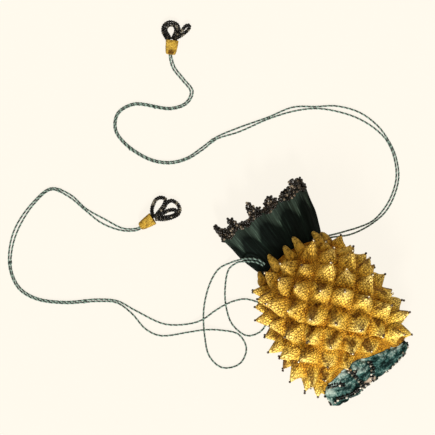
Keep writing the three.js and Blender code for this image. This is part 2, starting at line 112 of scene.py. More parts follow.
def ramp(tree, factor, stops):
    # each stop is a place and a colour, or a plain number for a grey
    made = node(tree, "ValToRGB", {0: factor})
    elements = made.color_ramp.elements
    while len(elements) < len(stops):
        elements.new(0.5)
    for element, (position, colour) in zip(elements, stops):
        element.position = position
        element.color = (*colour, 1.0) if isinstance(colour, tuple) else (colour, colour, colour, 1.0)
    return made.outputs[0]


def startMaterial(name, roughness, shine):
    material = bpy.data.materials.new(name)
    material.use_nodes = True
    tree = material.node_tree
    shader = tree.nodes["Principled BSDF"]
    shader.inputs["Roughness"].default_value = roughness
    shader.inputs["Specular IOR Level"].default_value = shine
    return material, tree, shader


def setColour(tree, shader, colour):
    tree.links.new(colour, shader.inputs["Base Color"])


def setBump(tree, shader, height, strength, distance):
    inputs = {"Height": height, "Strength": strength, "Distance": distance}
    tree.links.new(node(tree, "Bump", inputs).outputs[0], shader.inputs["Normal"])


# in the settings of the pieces a noise is its scale, detail and roughness, a bump its strength and depth
def noiseOf(tree, where, scale, detail, roughness):
    inputs = {"Vector": where, "Scale": scale, "Detail": detail, "Roughness": roughness}
    return node(tree, "TexNoise", inputs).outputs[0]


def objectSpot(tree):
    return node(tree, "TexCoord").outputs["Object"]


def weaveSpot(tree, around, along):
    # the piece's own map, stretched so that one unit is one stitch
    weave = node(tree, "UVMap", uv_map="weave").outputs[0]
    return node(tree, "Mapping", {"Vector": weave, "Scale": (around, along, 1.0)}).outputs[0]


stitches = {
    "wobbleScale": 260.0,
    "wobbleDetail": 2.0,
    "wobbleReach": (1.0, 1.0, 0.0),
    "slant": 0.55,
    "edgePower": 5.0,
}


def knitHeight(tree, around, along):
    # v-shaped stitches: two slanting legs in each column, a new stitch in each row
    wobble = node(tree, "TexNoise", {
        "Vector": objectSpot(tree), "Scale": stitches["wobbleScale"], "Detail": stitches["wobbleDetail"],
    }).outputs["Color"]
    moved = {0: wobble, 1: stitches["wobbleReach"], 2: weaveSpot(tree, around, along)}
    spot = node(tree, "VectorMath", moved, operation="MULTIPLY_ADD").outputs[0]
    spot = node(tree, "SeparateXYZ", {0: spot})
    column = maths(tree, "FRACT", spot.outputs[0])
    away = maths(tree, "MULTIPLY", maths(tree, "ABSOLUTE", maths(tree, "SUBTRACT", column, 0.5)), 2.0)
    row = maths(tree, "FRACT", maths(tree, "MULTIPLY_ADD", away, stitches["slant"], spot.outputs[1]))
    leg = maths(tree, "SINE", maths(tree, "MULTIPLY", row, math.pi))
    edge = maths(tree, "SUBTRACT", 1.0, maths(tree, "POWER", away, stitches["edgePower"]))
    return maths(tree, "MULTIPLY", leg, edge)


def setLoft(tree, shader, yarn, fuzz, stitch):
    # stitches and fuzz of a knit as one bump
    loft = maths(tree, "MULTIPLY_ADD", fuzz, yarn["fuzz"], stitch)
    setBump(tree, shader, loft, *yarn["bump"])


def newMesh(*floatLayers):
    bm = bmesh.new()
    bm.loops.layers.uv.new("weave")
    for name in floatLayers:
        bm.verts.layers.float.new(name)
    return bm


mergeReach = 2e-6  # spots of a mesh that are nearer than this are one


def rollGrid(bm, columns, rows, place, **marks):
    # a flat grid rolled and bent to a shape: place gives each spot from its share across and along,
    # and each mark gives the value of the layer of its name there
    made = bmesh.ops.create_grid(bm, x_segments=columns, y_segments=rows, size=0.5, calc_uvs=True)
    verts = made["verts"]
    layers = [(bm.verts.layers.float[name], mark) for name, mark in marks.items()]
    for vert in verts:
        across, along = vert.co.x + 0.5, vert.co.y + 0.5
        for layer, mark in layers:
            vert[layer] = mark(across, along)
        vert.co = place(across, along)
    bmesh.ops.remove_doubles(bm, verts=verts, dist=mergeReach)


def aboveTable(spot, lowest=0.0):
    spot.z = max(spot.z, lowest)
    return spot


def closeEnds(bm):
    edges = [edge for edge in bm.edges if edge.is_boundary]
    bmesh.ops.holes_fill(bm, edges=edges, sides=0)


def addPiece(name, bm, material, replaced):
    mesh = bpy.data.meshes.new(name)
    for face in bm.faces:
        face.smooth = True
    bm.to_mesh(mesh)
    bm.free()
    mesh.materials.append(material)
    piece = bpy.data.objects.new(name, mesh)
    scene.collection.objects.link(piece)
    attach(piece, "root")
    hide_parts(replaced)
    return piece


# beads are made in lots, which is quicker than adding each to a large mesh
seedBeads = {
    "lot": 40,
    "sides": 8,
    "rings": 6,
    "roughness": 0.2,
    "cloud": (900.0, 3.0, 0.55),
    "cloudSwing": 0.3,
}


def addBeads(name, beads, material, replaced):
    # each bead is given by its spot, its radius and its tint
    whole = bmesh.new()
    shape = {"u_segments": seedBeads["sides"], "v_segments": seedBeads["rings"]}
    for first in range(0, len(beads), seedBeads["lot"]):
        lot = newMesh("tint")
        tints = lot.verts.layers.float["tint"]
        for spot, radius, tint in beads[first:first + seedBeads["lot"]]:
            where = Matrix.Translation(spot)
            made = bmesh.ops.create_uvsphere(lot, radius=radius, matrix=where, **shape)
            for vert in made["verts"]:
                vert[tints] = tint
        mesh = bpy.data.meshes.new("lot")
        lot.to_mesh(mesh)
        lot.free()
        whole.from_mesh(mesh)
        bpy.data.meshes.remove(mesh)
    addPiece(name, whole, material, replaced)


def thicken(piece, wall):
    modifier = piece.modifiers.new("wall", "SOLIDIFY")
    modifier.thickness = wall
    modifier.offset = -1.0


# drawstrings: two pairs of two-ply strands, in the lay-out frame
cords = {
    "diameter": 0.0013,
    "loft": 1.38,         # the loose yarn stands out a little past the cord's diameter
    "pitch": 0.0048,      # length of one full turn of the plies
    "waist": 0.7,         # width between the two plies, as a share of the cord's
    "sides": 12,
    "step": 0.0006,
    "slubSwell": 0.75,    # a slub makes the strand thicker by this share
    "slubReach": 0.0011,
    "slubs": [
        (-0.103, 0.1525), (-0.177, 0.145), (-0.155, 0.182),
        (-0.218, 0.008), (-0.285, 0.043), (-0.241, 0.108),
    ],
    "pathSkip": 4,
    "routeSteps": 24,
}

# each row is a spot between two strands and the distance from strand to strand, from the neck or the
# end of the single loops into the tassel cap
rightPair = [
    (-0.0044, 0.0656, 0.015, 0.002), (-0.0006, 0.066, 0.015, 0.002), (0.005, 0.067, 0.0115, 0.0022),
    (0.012, 0.0682, 0.006, 0.0032), (0.019, 0.0698, 0.0018, 0.004), (0.028, 0.0728, 0.0, 0.0034),
    (0.041, 0.0794, 0.0, 0.0017), (0.0515, 0.0894, 0.0, 0.0026), (0.059, 0.1025, 0.0, 0.0024),
    (0.0634, 0.12, 0.0, 0.0022), (0.0606, 0.1395, 0.0, 0.0018), (0.054, 0.1535, 0.0, 0.0016),
    (0.044, 0.165, 0.0, 0.0036), (0.028, 0.1756, 0.0, 0.0054), (0.008, 0.1815, 0.0, 0.0046),
    (-0.01, 0.1824, 0.0, 0.0017), (-0.03, 0.181, 0.0, 0.0036), (-0.053, 0.1729, 0.0, 0.0016),
    (-0.08, 0.1622, 0.0, 0.0036), (-0.1, 0.1546, 0.0, 0.0017), (-0.112, 0.1456, 0.0, 0.0021),
    (-0.126, 0.1366, 0.0, 0.0016), (-0.142, 0.1328, 0.0, 0.0017), (-0.16, 0.136, 0.0, 0.0016),
    (-0.182, 0.1503, 0.0, 0.0016), (-0.1904, 0.163, 0.0, 0.0016), (-0.1882, 0.177, 0.0, 0.0016),
    (-0.174, 0.1854, 0.0, 0.0016), (-0.14, 0.1816, 0.0, 0.0016), (-0.126, 0.187, 0.0, 0.0018),
    (-0.1218, 0.197, 0.0, 0.0023), (-0.1295, 0.2075, 0.0, 0.0021), (-0.138, 0.2185, 0.0003, 0.0022),
    (-0.1409, 0.2294, 0.0022, 0.0017), (-0.1407, 0.232, 0.0026, 0.0012),
]
leftPair = [
    (-0.189, 0.0076, 0.0, 0.0018), (-0.206, 0.009, 0.0, 0.0019), (-0.236, 0.007, 0.0, 0.0016),
    (-0.262, 0.0106, 0.0, 0.0016), (-0.277, 0.02, 0.0, 0.0018), (-0.2846, 0.036, 0.0, 0.0016),
    (-0.2848, 0.054, 0.0, 0.0024), (-0.279, 0.074, 0.0, 0.003), (-0.264, 0.0966, 0.0, 0.0018),
    (-0.248, 0.1092, 0.0, 0.0016), (-0.2315, 0.103, 0.0, 0.0023), (-0.2175, 0.091, 0.0, 0.0016),
    (-0.201, 0.08, 0.0, 0.0044), (-0.183, 0.0726, 0.0, 0.002), (-0.1696, 0.0734, 0.0012, 0.0017),
    (-0.1668, 0.0762, 0.0022, 0.0012),
]
# the loops that the two left strands make on their own before they run together
leftLoopA = [
    (-0.0558, 0.0416, 0.026), (-0.062, 0.0457, 0.0264), (-0.071, 0.0468, 0.0224),
    (-0.0808, 0.045, 0.0095), (-0.0865, 0.043, 0.002), (-0.097, 0.0376, 0.0), (-0.105, 0.025, 0.0),
    (-0.1108, 0.002, 0.0), (-0.11, -0.024, 0.0), (-0.1055, -0.042, 0.0), (-0.094, -0.0516, 0.0),
    (-0.0785, -0.048, 0.0), (-0.0726, -0.0345, 0.0), (-0.0795, -0.0218, 0.0), (-0.096, -0.0179, 0.0),
    (-0.1106, -0.0176, 0.0015), (-0.124, -0.0196, 0.0), (-0.15, -0.0228, 0.0), (-0.163, -0.017, 0.0),
    (-0.176, -0.0026, 0.0),
]
leftLoopB = [
    (-0.0576, 0.0404, 0.0248), (-0.064, 0.0436, 0.024), (-0.075, 0.044, 0.0155),
    (-0.082, 0.0424, 0.0044), (-0.0886, 0.0365, 0.0), (-0.0918, 0.018, 0.0), (-0.0904, 0.001, 0.0),
    (-0.085, -0.013, 0.0), (-0.072, -0.0228, 0.0), (-0.0595, -0.0188, 0.0), (-0.0535, -0.008, 0.0),
    (-0.055, 0.0026, 0.0), (-0.072, 0.01, 0.0), (-0.0825, 0.0087, 0.0001), (-0.0914, 0.0052, 0.0015),
    (-0.101, -0.0006, 0.0002), (-0.1118, -0.0082, 0.0015), (-0.123, -0.012, 0.0),
    (-0.146, -0.0124, 0.0), (-0.172, -0.0004, 0.0),
]


def strandOfPair(pair, side):
    spots = []
    for index, (x, y, z, spread) in enumerate(pair):
        before = pair[max(index - 1, 0)]
        after = pair[min(index + 1, len(pair) - 1)]
        run = Vector((after[0] - before[0], after[1] - before[1])).normalized()
        shift = side * spread / 2
        spots.append((x - run.y * shift, y + run.x * shift, z))
    return spots


def smoothRoute(points, lowest):
    # a centripetal curve through the points, nowhere below the table
    ends = [2 * points[0] - points[1], *points, 2 * points[-1] - points[-2]]
    line = []
    steps = cords["routeSteps"]
    for a, b, c, d in zip(ends, ends[1:], ends[2:], ends[3:]):
        first, middle, last = (math.sqrt((q - p).length) for p, q in ((a, b), (b, c), (c, d)))
        into = ((b - a) / first - (c - a) / (first + middle)) * middle + (c - b)
        out = (c - b) - ((d - b) / (middle + last) - (d - c) / last) * middle
        for step in range(steps):
            t = step / steps
            bend = (3 * (c - b) - 2 * into - out) * t ** 2 + (2 * (b - c) + into + out) * t ** 3
            line.append(b + into * t + bend)
    line.append(points[-1].copy())
    return [aboveTable(spot, lowest) for spot in line]


def lengthsAlong(line):
    lengths = [0.0]
    for a, b in zip(line, line[1:]):
        lengths.append(lengths[-1] + (b - a).length)
    return lengths


def evenSteps(line, step):
    # the same line with its points an even step apart
    lengths = lengthsAlong(line)
    count = max(2, round(lengths[-1] / step))
    even, index = [], 0
    for number in range(count + 1):
        goal = lengths[-1] * number / count
        while index < len(line) - 2 and lengths[index + 1] < goal:
            index += 1
        share = (goal - lengths[index]) / (lengths[index + 1] - lengths[index])
        even.append(line[index].lerp(line[index + 1], share))
    return even


def sideOf(line, index):
    run = line[min(index + 1, len(line) - 1)] - line[max(index - 1, 0)]
    side = Vector((-run.y, run.x, 0.0)).normalized()
    return side, run.cross(side).normalized()


def makeStrand(name, spots, material, replaced):
    radius = cords["diameter"] / 2
    route = smoothRoute([layOut(x, y, z + radius) for x, y, z in spots], radius)
    length = lengthsAlong(route)[-1]
    line = evenSteps(route, cords["step"])
    rows = len(line) - 1
    slubs = [layOut(x, y, radius) for x, y in cords["slubs"]]
    swells = []
    for spot in line:
        near = min((spot - slub).length for slub in slubs) / cords["slubReach"]
        swells.append(1.0 + cords["slubSwell"] * math.exp(-near ** 2))
    frames = [sideOf(line, index) for index in range(len(line))]

    def place(across, along):
        index = round(along * rows)
        side, up = frames[index]
        angle = fullTurn * across
        reach = radius * cords["loft"] * swells[index]
        reach *= cords["waist"] + (1 - cords["waist"]) * abs(math.cos(angle))
        angle += fullTurn * length * along / cords["pitch"]
        return aboveTable(line[index] + (side * math.cos(angle) + up * math.sin(angle)) * reach)

    bm = newMesh()
    rollGrid(bm, cords["sides"], rows, place)
    closeEnds(bm)
    bmesh.ops.recalc_face_normals(bm, faces=bm.faces)
    piece = addPiece(name, bm, material, replaced)
    path = line[::cords["pathSkip"]]
    if path[-1] != line[-1]:
        path.append(line[-1])
    return piece, path, length


# light and dark yarn of the cords
cordYarn = {
    "roughness": 0.8,
    "shine": 0.5,
    "sheen": 0.15,
    "contrast": 0.42,  # between the light ply and the dark one
    "worn": (260.0, 3.0, 0.55),
    "wornSwing": 1.0,
    "colours": [(0.15, (0.008, 0.019, 0.015)), (0.5, (0.055, 0.098, 0.08)), (0.85, (0.21, 0.31, 0.26))],
    "fuzz": (2600.0, 3.0, 0.55),
    "bump": (0.5, 0.0002),
}


def makeCordMaterial():
    material, tree, shader = startMaterial("greenCord", cordYarn["roughness"], cordYarn["shine"])
    shader.inputs["Sheen Weight"].default_value = cordYarn["sheen"]
    spot = node(tree, "SeparateXYZ", {0: weaveSpot(tree, 1.0, 1.0)})
    ply = maths(tree, "COSINE", maths(tree, "MULTIPLY", spot.outputs[0], fullTurn))
    plies = maths(tree, "MULTIPLY_ADD", ply, cordYarn["contrast"], 0.5)
    worn = noiseOf(tree, objectSpot(tree), *cordYarn["worn"])
    share = shaken(tree, plies, worn, cordYarn["wornSwing"])
    setColour(tree, shader, ramp(tree, share, cordYarn["colours"]))
    setBump(tree, shader, noiseOf(tree, objectSpot(tree), *cordYarn["fuzz"]), *cordYarn["bump"])
    return material


strandSpots = {
    "right_strand_a": strandOfPair(rightPair, 1),
    "right_strand_b": strandOfPair(rightPair, -1),
    "left_strand_a": leftLoopA + strandOfPair(leftPair, 1),
    "left_strand_b": leftLoopB + strandOfPair(leftPair, -1),
}
cordMaterial = makeCordMaterial()
for strandName, spots in strandSpots.items():
    words = strandName.split("_")
    pieceName = words[0] + "Strand" + words[2].upper()
    makeStrand(pieceName, spots, cordMaterial, strandName)
print("cords made")


# cross-sections of the bag: a row of stations holds the place along the bag, how far the top lies ahead
# and the sides askew, the half width, the heights of crest, waist and floor and, on the body, of the spikes
sections = {
    "crowding": 0.12,
    "cornerRate": 1.35,
    "aheadPower": 1.5,
    "squashHeight": 0.012,  # below this the bag is pressed flatter on the table
    "small": 0.002,         # step between the spots that give a direction
}
knownRows = {}              # rows between the stations that have been worked out


def blendStations(piece, station):
    key = (piece["name"], round(station, 5))
    if key not in knownRows:
        table = piece["stations"]
        low = min(max(math.floor(station), 0), len(table) - 2)
        share = station - low
        rows = [table[min(max(low + step, 0), len(table) - 1)] for step in (-1, 0, 1, 2)]
        blended = []
        for a, b, c, d in zip(*rows):
            bend = (2 * a - 5 * b + 4 * c - d) * share ** 2 + (3 * (b - c) + d - a) * share ** 3
            blended.append(b + ((c - a) * share + bend) / 2)
        knownRows[key] = blended
    return knownRows[key]


def sectionPoint(piece, turn, station):
    along, ahead, skew, half, crest, waist, floor = blendStations(piece, station)[:7]
    angle = turn - sections["crowding"] * math.sin(turn)
    above = max(0.0, math.cos(angle))
    below = min(1.0, max(0.0, -math.cos(angle)) * sections["cornerRate"])
    rise = (crest - waist) * above
    drop = (waist - floor) * math.sin(below * math.pi / 2)
    forward = along + ahead * above ** sections["aheadPower"] + skew * math.sin(angle)
    return Vector((half * math.sin(angle), forward, max(0.0, waist + rise - drop)))


def sectionAxes(piece, turn, station):
    small = sections["small"]
    across = sectionPoint(piece, turn + small, station) - sectionPoint(piece, turn - small, station)
    forward = sectionPoint(piece, turn, station + small) - sectionPoint(piece, turn, station - small)
    return across.normalized(), forward.normalized(), across.cross(forward).normalized()


def squashAt(spot):
    return min(max(spot.z / sections["squashHeight"], 0.0), 1.0)


# yellow knitted body with its hollow spikes
bagBody = {
    "name": "bagBody",
    "stations": [
        (-0.0695, 0.0125, 0.0035, 0.042, 0.044, 0.015, 0.0, 0.0),
        (-0.054, 0.008, 0.0005, 0.0445, 0.05, 0.019, 0.0, 0.0095),
        (-0.041, 0.006, 0.0, 0.047, 0.057, 0.022, 0.0, 0.0118),
        (-0.028, 0.0055, 0.0, 0.0487, 0.0625, 0.024, 0.0, 0.0125),
        (-0.0155, 0.006, 0.0, 0.0495, 0.0653, 0.025, 0.0, 0.0125),
        (-0.003, 0.007, 0.0, 0.0495, 0.065, 0.025, 0.0, 0.0125),
        (0.0095, 0.008, 0.0, 0.0483, 0.062, 0.024, 0.0, 0.0125),
        (0.022, 0.0085, 0.0, 0.0455, 0.0575, 0.023, 0.0, 0.0125),
        (0.034, 0.008, 0.0, 0.0415, 0.0505, 0.021, 0.0, 0.012),
        (0.0455, 0.0065, 0.0, 0.0365, 0.041, 0.0185, 0.0015, 0.011),
        (0.054, 0.0095, 0.0, 0.0325, 0.0318, 0.017, 0.005, 0.0),
    ],
    "spikes": 10,
    "firstSpike": math.radians(5.1),
    "columns": 220,
    "rows": 190,
    "roundness": 1.3,      # 1 makes the spikes' feet diamonds, 2 rounds them
    "mound": 0.14,         # share of the height that is a broad mound, the rest is a thin point
    "moundPower": 1.8,
    "pointPower": 1.6,
    "blunt": 0.075,        # share of the foot that the blunt tip takes
    "hollowDepth": 0.004,  # dents beside the points of the spikes on the upper side
    "hollowAbove": 0.38,
    "hollowAside": 0.25,   # how far to either side a hollow may lie
    "hollowSize": (0.46, 0.36),
    "hollowKept": (0.25, 1.0),  # least and greatest share of its depth that a hollow has
    "hollowRows": (4.0, 16.0),  # full up to the first of these rows, and fading to none at the second
    "hollowDrift": 0.07,   # how much further to one side each later row's hollows lie
    "hollowFray": 0.42,
    "frayScale": Vector((3.3, 2.7, 0.0)),
    "frayLayers": (9.5, 49.5),
    "steep": (-0.55, 0.6),  # which side of a spike is steeper, from the first row to the last
    "stretch": (1.48, 1.05),  # the upper side's points stand out further, more so on the first rows
    "lean": 0.0008,
    "heightSpread": 0.1,
    "upperSpread": 0.17,   # how much taller or lower a spike on the upper side may be
    "footSpread": 0.16,    # how much wider or narrower a spike's foot may be
    "ragged": 0.32,        # how uneven a foot's outline is
    "raggedScale": Vector((1.6, 1.9, 0.0)),
    "raggedLayer": 0.5,
    "uneven": 0.0012,
    "unevenScale": 110.0,
    "wall": 0.0022,
    "stitches": (132, 72),
    "seed": 11,
    "shapeSeed": 12,
    # how far each spike's point leans, to the right and upwards in the picture: row, then place in it
    "leans": {
        1: {0: (-0.0055, -0.0015), 1: (0.003, 0.002), 2: (-0.0006, -0.005), 7: (0.006, -0.001),
            8: (-0.002, 0.002), 9: (-0.003, -0.001)},
        2: {0: (-0.0055, -0.0045), 1: (-0.003, -0.0055), 2: (0.0, 0.0035), 7: (0.006, -0.005),
            8: (0.0025, -0.005), 9: (-0.0024, -0.0007)},
        3: {0: (-0.004, -0.0045), 1: (0.0, 0.003), 2: (-0.0015, 0.0006), 7: (0.0016, -0.0043),
            8: (-0.005, 0.0045), 9: (-0.0034, -0.0015)},
        4: {0: (-0.003, -0.0043), 1: (-0.0023, 0.0027), 2: (0.0, -0.0046), 7: (0.0048, -0.0043),
            8: (-0.004, 0.0), 9: (-0.0022, -0.002)},
        5: {0: (0.0, 0.0004), 1: (-0.004, 0.003), 2: (-0.002, 0.001), 7: (-0.002, -0.0015),
            8: (-0.0013, -0.001), 9: (-0.0035, -0.0055)},
        6: {0: (0.0005, -0.0017), 1: (-0.0027, 0.0023), 2: (-0.0034, 0.004), 8: (-0.001, 0.0027),
            9: (-0.001, -0.0012)},
        7: {0: (0.0053, 0.0024), 1: (0.0, 0.0027), 2: (-0.0015, -0.003), 7: (-0.0022, 0.0003),
            8: (-0.0037, 0.002), 9: (-0.001, -0.0014)},
        8: {0: (0.0, -0.0038), 1: (0.004, -0.0005), 2: (0.004, -0.004), 9: (0.0022, 0.0008)},
        9: {0: (0.0055, 0.0055), 1: (-0.001, -0.004), 8: (0.0, 0.005), 9: (-0.0018, -0.0026)},
    },
    # the edge of the base on the body: turn in degrees, place between the first two stations
    "edge": [
        (-180, 0.1), (-120, 0.15), (-89, 0.55), (-75, 0.74), (-58, 0.74), (-37, 0.68), (-15, 0.72),
        (-3, 0.66), (12, 0.3), (30, 0.12), (60, 0.08), (85, 0.45), (110, 0.2), (180, 0.1),
    ],
}
bodyEnd = len(bagBody["stations"]) - 1  # a row of spikes stands on every station between the first and this


def chooseSpikes():
    chance = random.Random(bagBody["seed"])
    shape = random.Random(bagBody["shapeSeed"])
    spikes = {}
    for row in range(1, bodyEnd):
        for column in range(bagBody["spikes"]):
            right, up = bagBody["leans"][row].get(column, (0.0, 0.0))
            right += bagBody["lean"] * chance.uniform(-1, 1)
            up += bagBody["lean"] * chance.uniform(-1, 1)
            spikes[row, column] = {
                "tall": 1.0 + bagBody["heightSpread"] * chance.uniform(-1, 0.6),
                "upper": bagBody["upperSpread"] * shape.uniform(-1, 1),
                "foot": 1.0 + bagBody["footSpread"] * shape.uniform(-1, 1),
                "hollow": shape.uniform(*bagBody["hollowKept"]),
                "aside": shape.uniform(-bagBody["hollowAside"], bagBody["hollowAside"]),
                "lean": layOut(right, up),
            }
    return spikes


spikes = chooseSpikes()


def spikeColumn(row, column):
    return column + (0.5 if row % 2 else 0.0)


def bodyTurn(share):
    return bagBody["firstSpike"] + fullTurn * share


def hollowShare(aside, above, row):
    wide, high = bagBody["hollowSize"]
    full, none = bagBody["hollowRows"]
    share = 1 - (aside / wide) ** 2 - ((above - bagBody["hollowAbove"]) / high) ** 2
    return max(0.0, share) * min(1.0, max(0.0, (none - row) / (none - full)))


def clothNoise(column, station, layer, scale):
    return noise.noise(Vector((column * scale.x, station * scale.y, layer)))


def nearestSpike(across, station):
    # how far out on a spike's foot this spot is, how far in its hollow, and the spike
    nearest, best = 1.0, None
    column = across * bagBody["spikes"]
    low, high = bagBody["steep"]
    part = station - math.floor(station)
    steep = low + (high - low) * station / bodyEnd
    station += steep * part * (1 - part)
    for row in (math.floor(station), math.floor(station) + 1):
        if not 1 <= row < bodyEnd:
            continue
        number = round(column - spikeColumn(row, 0))
        wide = 2 * abs(column - spikeColumn(row, number))
        deep = abs(station - row)
        if wide + deep > nearest:
            continue
        nearest = wide + deep
        power = bagBody["roundness"]
        spike = spikes[row, number % bagBody["spikes"]]
        outward = (wide ** power + deep ** power) ** (1 / power) / spike["foot"]
        ragged = clothNoise(column, station, row + bagBody["raggedLayer"], bagBody["raggedScale"])
        outward = min(1.0, outward * (1 + bagBody["ragged"] * ragged))
        frays = [bagBody["hollowFray"] * clothNoise(column, station, row + layer, bagBody["frayScale"])
                 for layer in bagBody["frayLayers"]]
        aside = 2 * (column - spikeColumn(row, number)) - spike["aside"] + frays[0]
        aside -= bagBody["hollowDrift"] * max(0, row - bagBody["hollowRows"][0])
        hollow = hollowShare(aside, station - row + frays[1], row) * spike["hollow"]
        best = (outward, hollow, spike)
    return best


def spikeShare(outward):
    mound = max(0.0, 1.0 - outward ** 2) ** bagBody["moundPower"]
    slope = max(0.0, outward - bagBody["blunt"]) / (1.0 - bagBody["blunt"])
    point = max(0.0, 1.0 - slope) ** bagBody["pointPower"]
    return bagBody["mound"] * mound + (1.0 - bagBody["mound"]) * point


def bodyRise(across, along):
    found = nearestSpike(across, along * bodyEnd)
    return spikeShare(found[0]) * found[2]["tall"] if found else 0.0


# how deep in a dent beside a spike's point this spot is; the dark brown put there is painted shade
def bodyHollowShade(across, along):
    found = nearestSpike(across, along * bodyEnd)
    return found[1] if found else 0.0


def edgeStation(turn):
    angle = (math.degrees(turn) + 180) % 360 - 180
    for (start, low), (end, high) in zip(bagBody["edge"], bagBody["edge"][1:]):
        if angle < end:
            return low + (high - low) * (angle - start) / (end - start)
    return bagBody["edge"][-1][1]


def bodyPoint(across, along):
    place = along * bodyEnd
    turn = bodyTurn(across)
    edge = edgeStation(turn)
    station = edge + (1 - edge) * place if place < 1 else place
    spot = sectionPoint(bagBody, turn, station)
    outward = sectionAxes(bagBody, turn, station)[2]
    squash = squashAt(spot)
    upper = max(0.0, outward.z)
    rough = noise.noise(spot * bagBody["unevenScale"]) * bagBody["uneven"]
    rough *= min(1.0, place, bodyEnd - place)
    found = nearestSpike(across, place)
    if found:
        outOnFoot, hollow, spike = found
        share = spikeShare(outOnFoot)
        tall = blendStations(bagBody, station)[7] * spike["tall"]
        low, high = bagBody["stretch"]
        tall *= 1 + (low - 1 + (high - low) * place / bodyEnd + spike["upper"]) * upper
        spot += outward * (tall * share * squash)
        spot -= outward * (bagBody["hollowDepth"] * hollow * upper)
        spot += spike["lean"] * share
    spot += outward * rough * squash
    return aboveTable(spot)


# pointed tabs round the neck that lean over the crown
neckTabs = {
    # turn of each tab in degrees, and the place of its tip between the crown's stations
    "tabs": [
        (-104, 1.8), (-72, 2.1), (-31, 2.65), (-2, 2.4), (18, 2.72), (55, 2.35), (76, 2.05), (110, 1.8),
    ],
    "rootStation": 9.2,
    "rootLift": -0.001,
    "tipLift": 0.0026,
    "rootRadius": 0.006,
    "tipRadius": 0.0026,
    "flatness": 0.8,
    "curl": 0.0022,
    "taperPower": 1.3,
    "tipPower": 7,        # the higher, the blunter the tip
    "sides": 22,
    "rows": 26,
    "uneven": 0.0006,
    "unevenScale": 220,
    "unevenPower": 4,
    "rise": (0.15, 0.6),  # how light the knit is at the root, and how much lighter at the tip: painted shade, darker at the root
    "stitches": (26, 16),
}


def addNeckTab(bm, angle, tipStation):
    turn = math.radians(angle)
    root = sectionPoint(bagBody, turn, neckTabs["rootStation"])
    axes = sectionAxes(bagBody, turn, neckTabs["rootStation"])
    sideways, outward = axes[0], axes[2]
    root += outward * neckTabs["rootLift"]
    tip = sectionPoint(leafCrown, turn, tipStation)
    tip += sectionAxes(leafCrown, turn, tipStation)[2] * neckTabs["tipLift"]

    def place(across, along):
        radius = neckTabs["rootRadius"] * (1 - along) ** neckTabs["taperPower"]
        radius += neckTabs["tipRadius"] * along
        radius *= math.sqrt(max(0.0, 1 - along ** neckTabs["tipPower"]))
        centre = root.lerp(tip, along) + outward * neckTabs["curl"] * math.sin(along * math.pi)
        angle = fullTurn * across
        spread = sideways * math.cos(angle) - outward * math.sin(angle) * neckTabs["flatness"]
        rough = noise.noise((centre + spread * radius) * neckTabs["unevenScale"]) * neckTabs["uneven"]
        return centre + spread * (radius + rough * (1 - along ** neckTabs["unevenPower"]))

    # the rise paints shade at the tab's root and lighter knit towards its tip
    low, more = neckTabs["rise"]
    rollGrid(bm, neckTabs["sides"], neckTabs["rows"], place, rise=lambda across, along: low + more * along)


# yellow yarn of the body, its tabs and the caps
yellowYarn = {
    "roughness": 0.85,
    "shine": 0.12,
    "patches": (60.0, 3.0, 0.55),
    "patchSwing": 0.7,
    # brown in the valleys, yellow on the spikes: painted shade in the valleys between the spikes
    "heights": [
        (0.0, (0.54, 0.25, 0.016)), (0.2, (0.77, 0.465, 0.055)),
        (0.5, (0.88, 0.615, 0.115)), (1.0, (0.91, 0.7, 0.22)),
    ],
    # painted shade: dark brown in the dents beside the spikes' points, with ragged edges
    "shadeFray": (190.0, 3.0, 0.6),
    "shadeFraySwing": 0.8,
    "hollowShade": [(0.1, 0.0), (0.36, 0.68), (0.8, 0.9)],
    "hollowShadeColour": (0.17, 0.058, 0.004, 1),
    "grain": (420.0, 3.0, 0.75),
    "specks": [(0.36, (0.22, 0.12, 0.05)), (0.47, (0.9, 0.86, 0.8)), (0.62, 1.5)],
    "speckled": 0.9,
    # dark gaps between the stitches, which show in places
    "gaps": [(0.08, (0.26, 0.17, 0.06)), (0.5, 1.0), (0.95, 1.3)],
    "gapPlaces": (95.0, 2.0, 0.55),
    "gapShares": [(0.36, 0.5), (0.58, 1.1)],
    # painted light and shade: brighter towards the base, nearer the light, and darker towards the neck
    "forward": (8.0, 0.6),
    "paintedLightFalloff": [(0.1, (1.07, 1.11, 1.12)), (0.6, 1.0), (0.96, (0.87, 0.79, 0.68))],
    "fuzz": 0.8,
    "bump": (1.0, 0.001),
}


def makeYellowKnit(name, around, along, speckled=yellowYarn["speckled"], paintedLightFalloff=1.0):
    material, tree, shader = startMaterial(name, yellowYarn["roughness"], yellowYarn["shine"])
    spot = objectSpot(tree)
    patches, shadeFray, grain, places = (
        noiseOf(tree, spot, *yellowYarn[key]) for key in ("patches", "shadeFray", "grain", "gapPlaces")
    )
    stitch = knitHeight(tree, around, along)
    # colour by height on the spikes: the brown low down is painted shade
    height = shaken(tree, markOf(tree, "rise"), patches, yellowYarn["patchSwing"])
    colour = ramp(tree, height, yellowYarn["heights"])
    # painted shade in the dents beside the spikes' points
    raggedShade = shaken(tree, markOf(tree, "hollow"), shadeFray, yellowYarn["shadeFraySwing"])
    colour = mixColours(tree, ramp(tree, raggedShade, yellowYarn["hollowShade"]), colour, yellowYarn["hollowShadeColour"])
    colour = mixColours(tree, speckled, colour, ramp(tree, grain, yellowYarn["specks"]), "MULTIPLY")
    seen = ramp(tree, places, [(place, share * speckled) for place, share in yellowYarn["gapShares"]])
    colour = mixColours(tree, seen, colour, ramp(tree, stitch, yellowYarn["gaps"]), "MULTIPLY")
    # painted light towards the base and painted shade towards the neck, along the object's y
    forward = node(tree, "SeparateXYZ", {0: spot}).outputs["Y"]
    lightFalloff = ramp(tree, maths(tree, "MULTIPLY_ADD", forward, *yellowYarn["forward"]), yellowYarn["paintedLightFalloff"])
    setColour(tree, shader, mixColours(tree, paintedLightFalloff, colour, lightFalloff, "MULTIPLY"))
    setLoft(tree, shader, yellowYarn, grain, stitch)
    return material


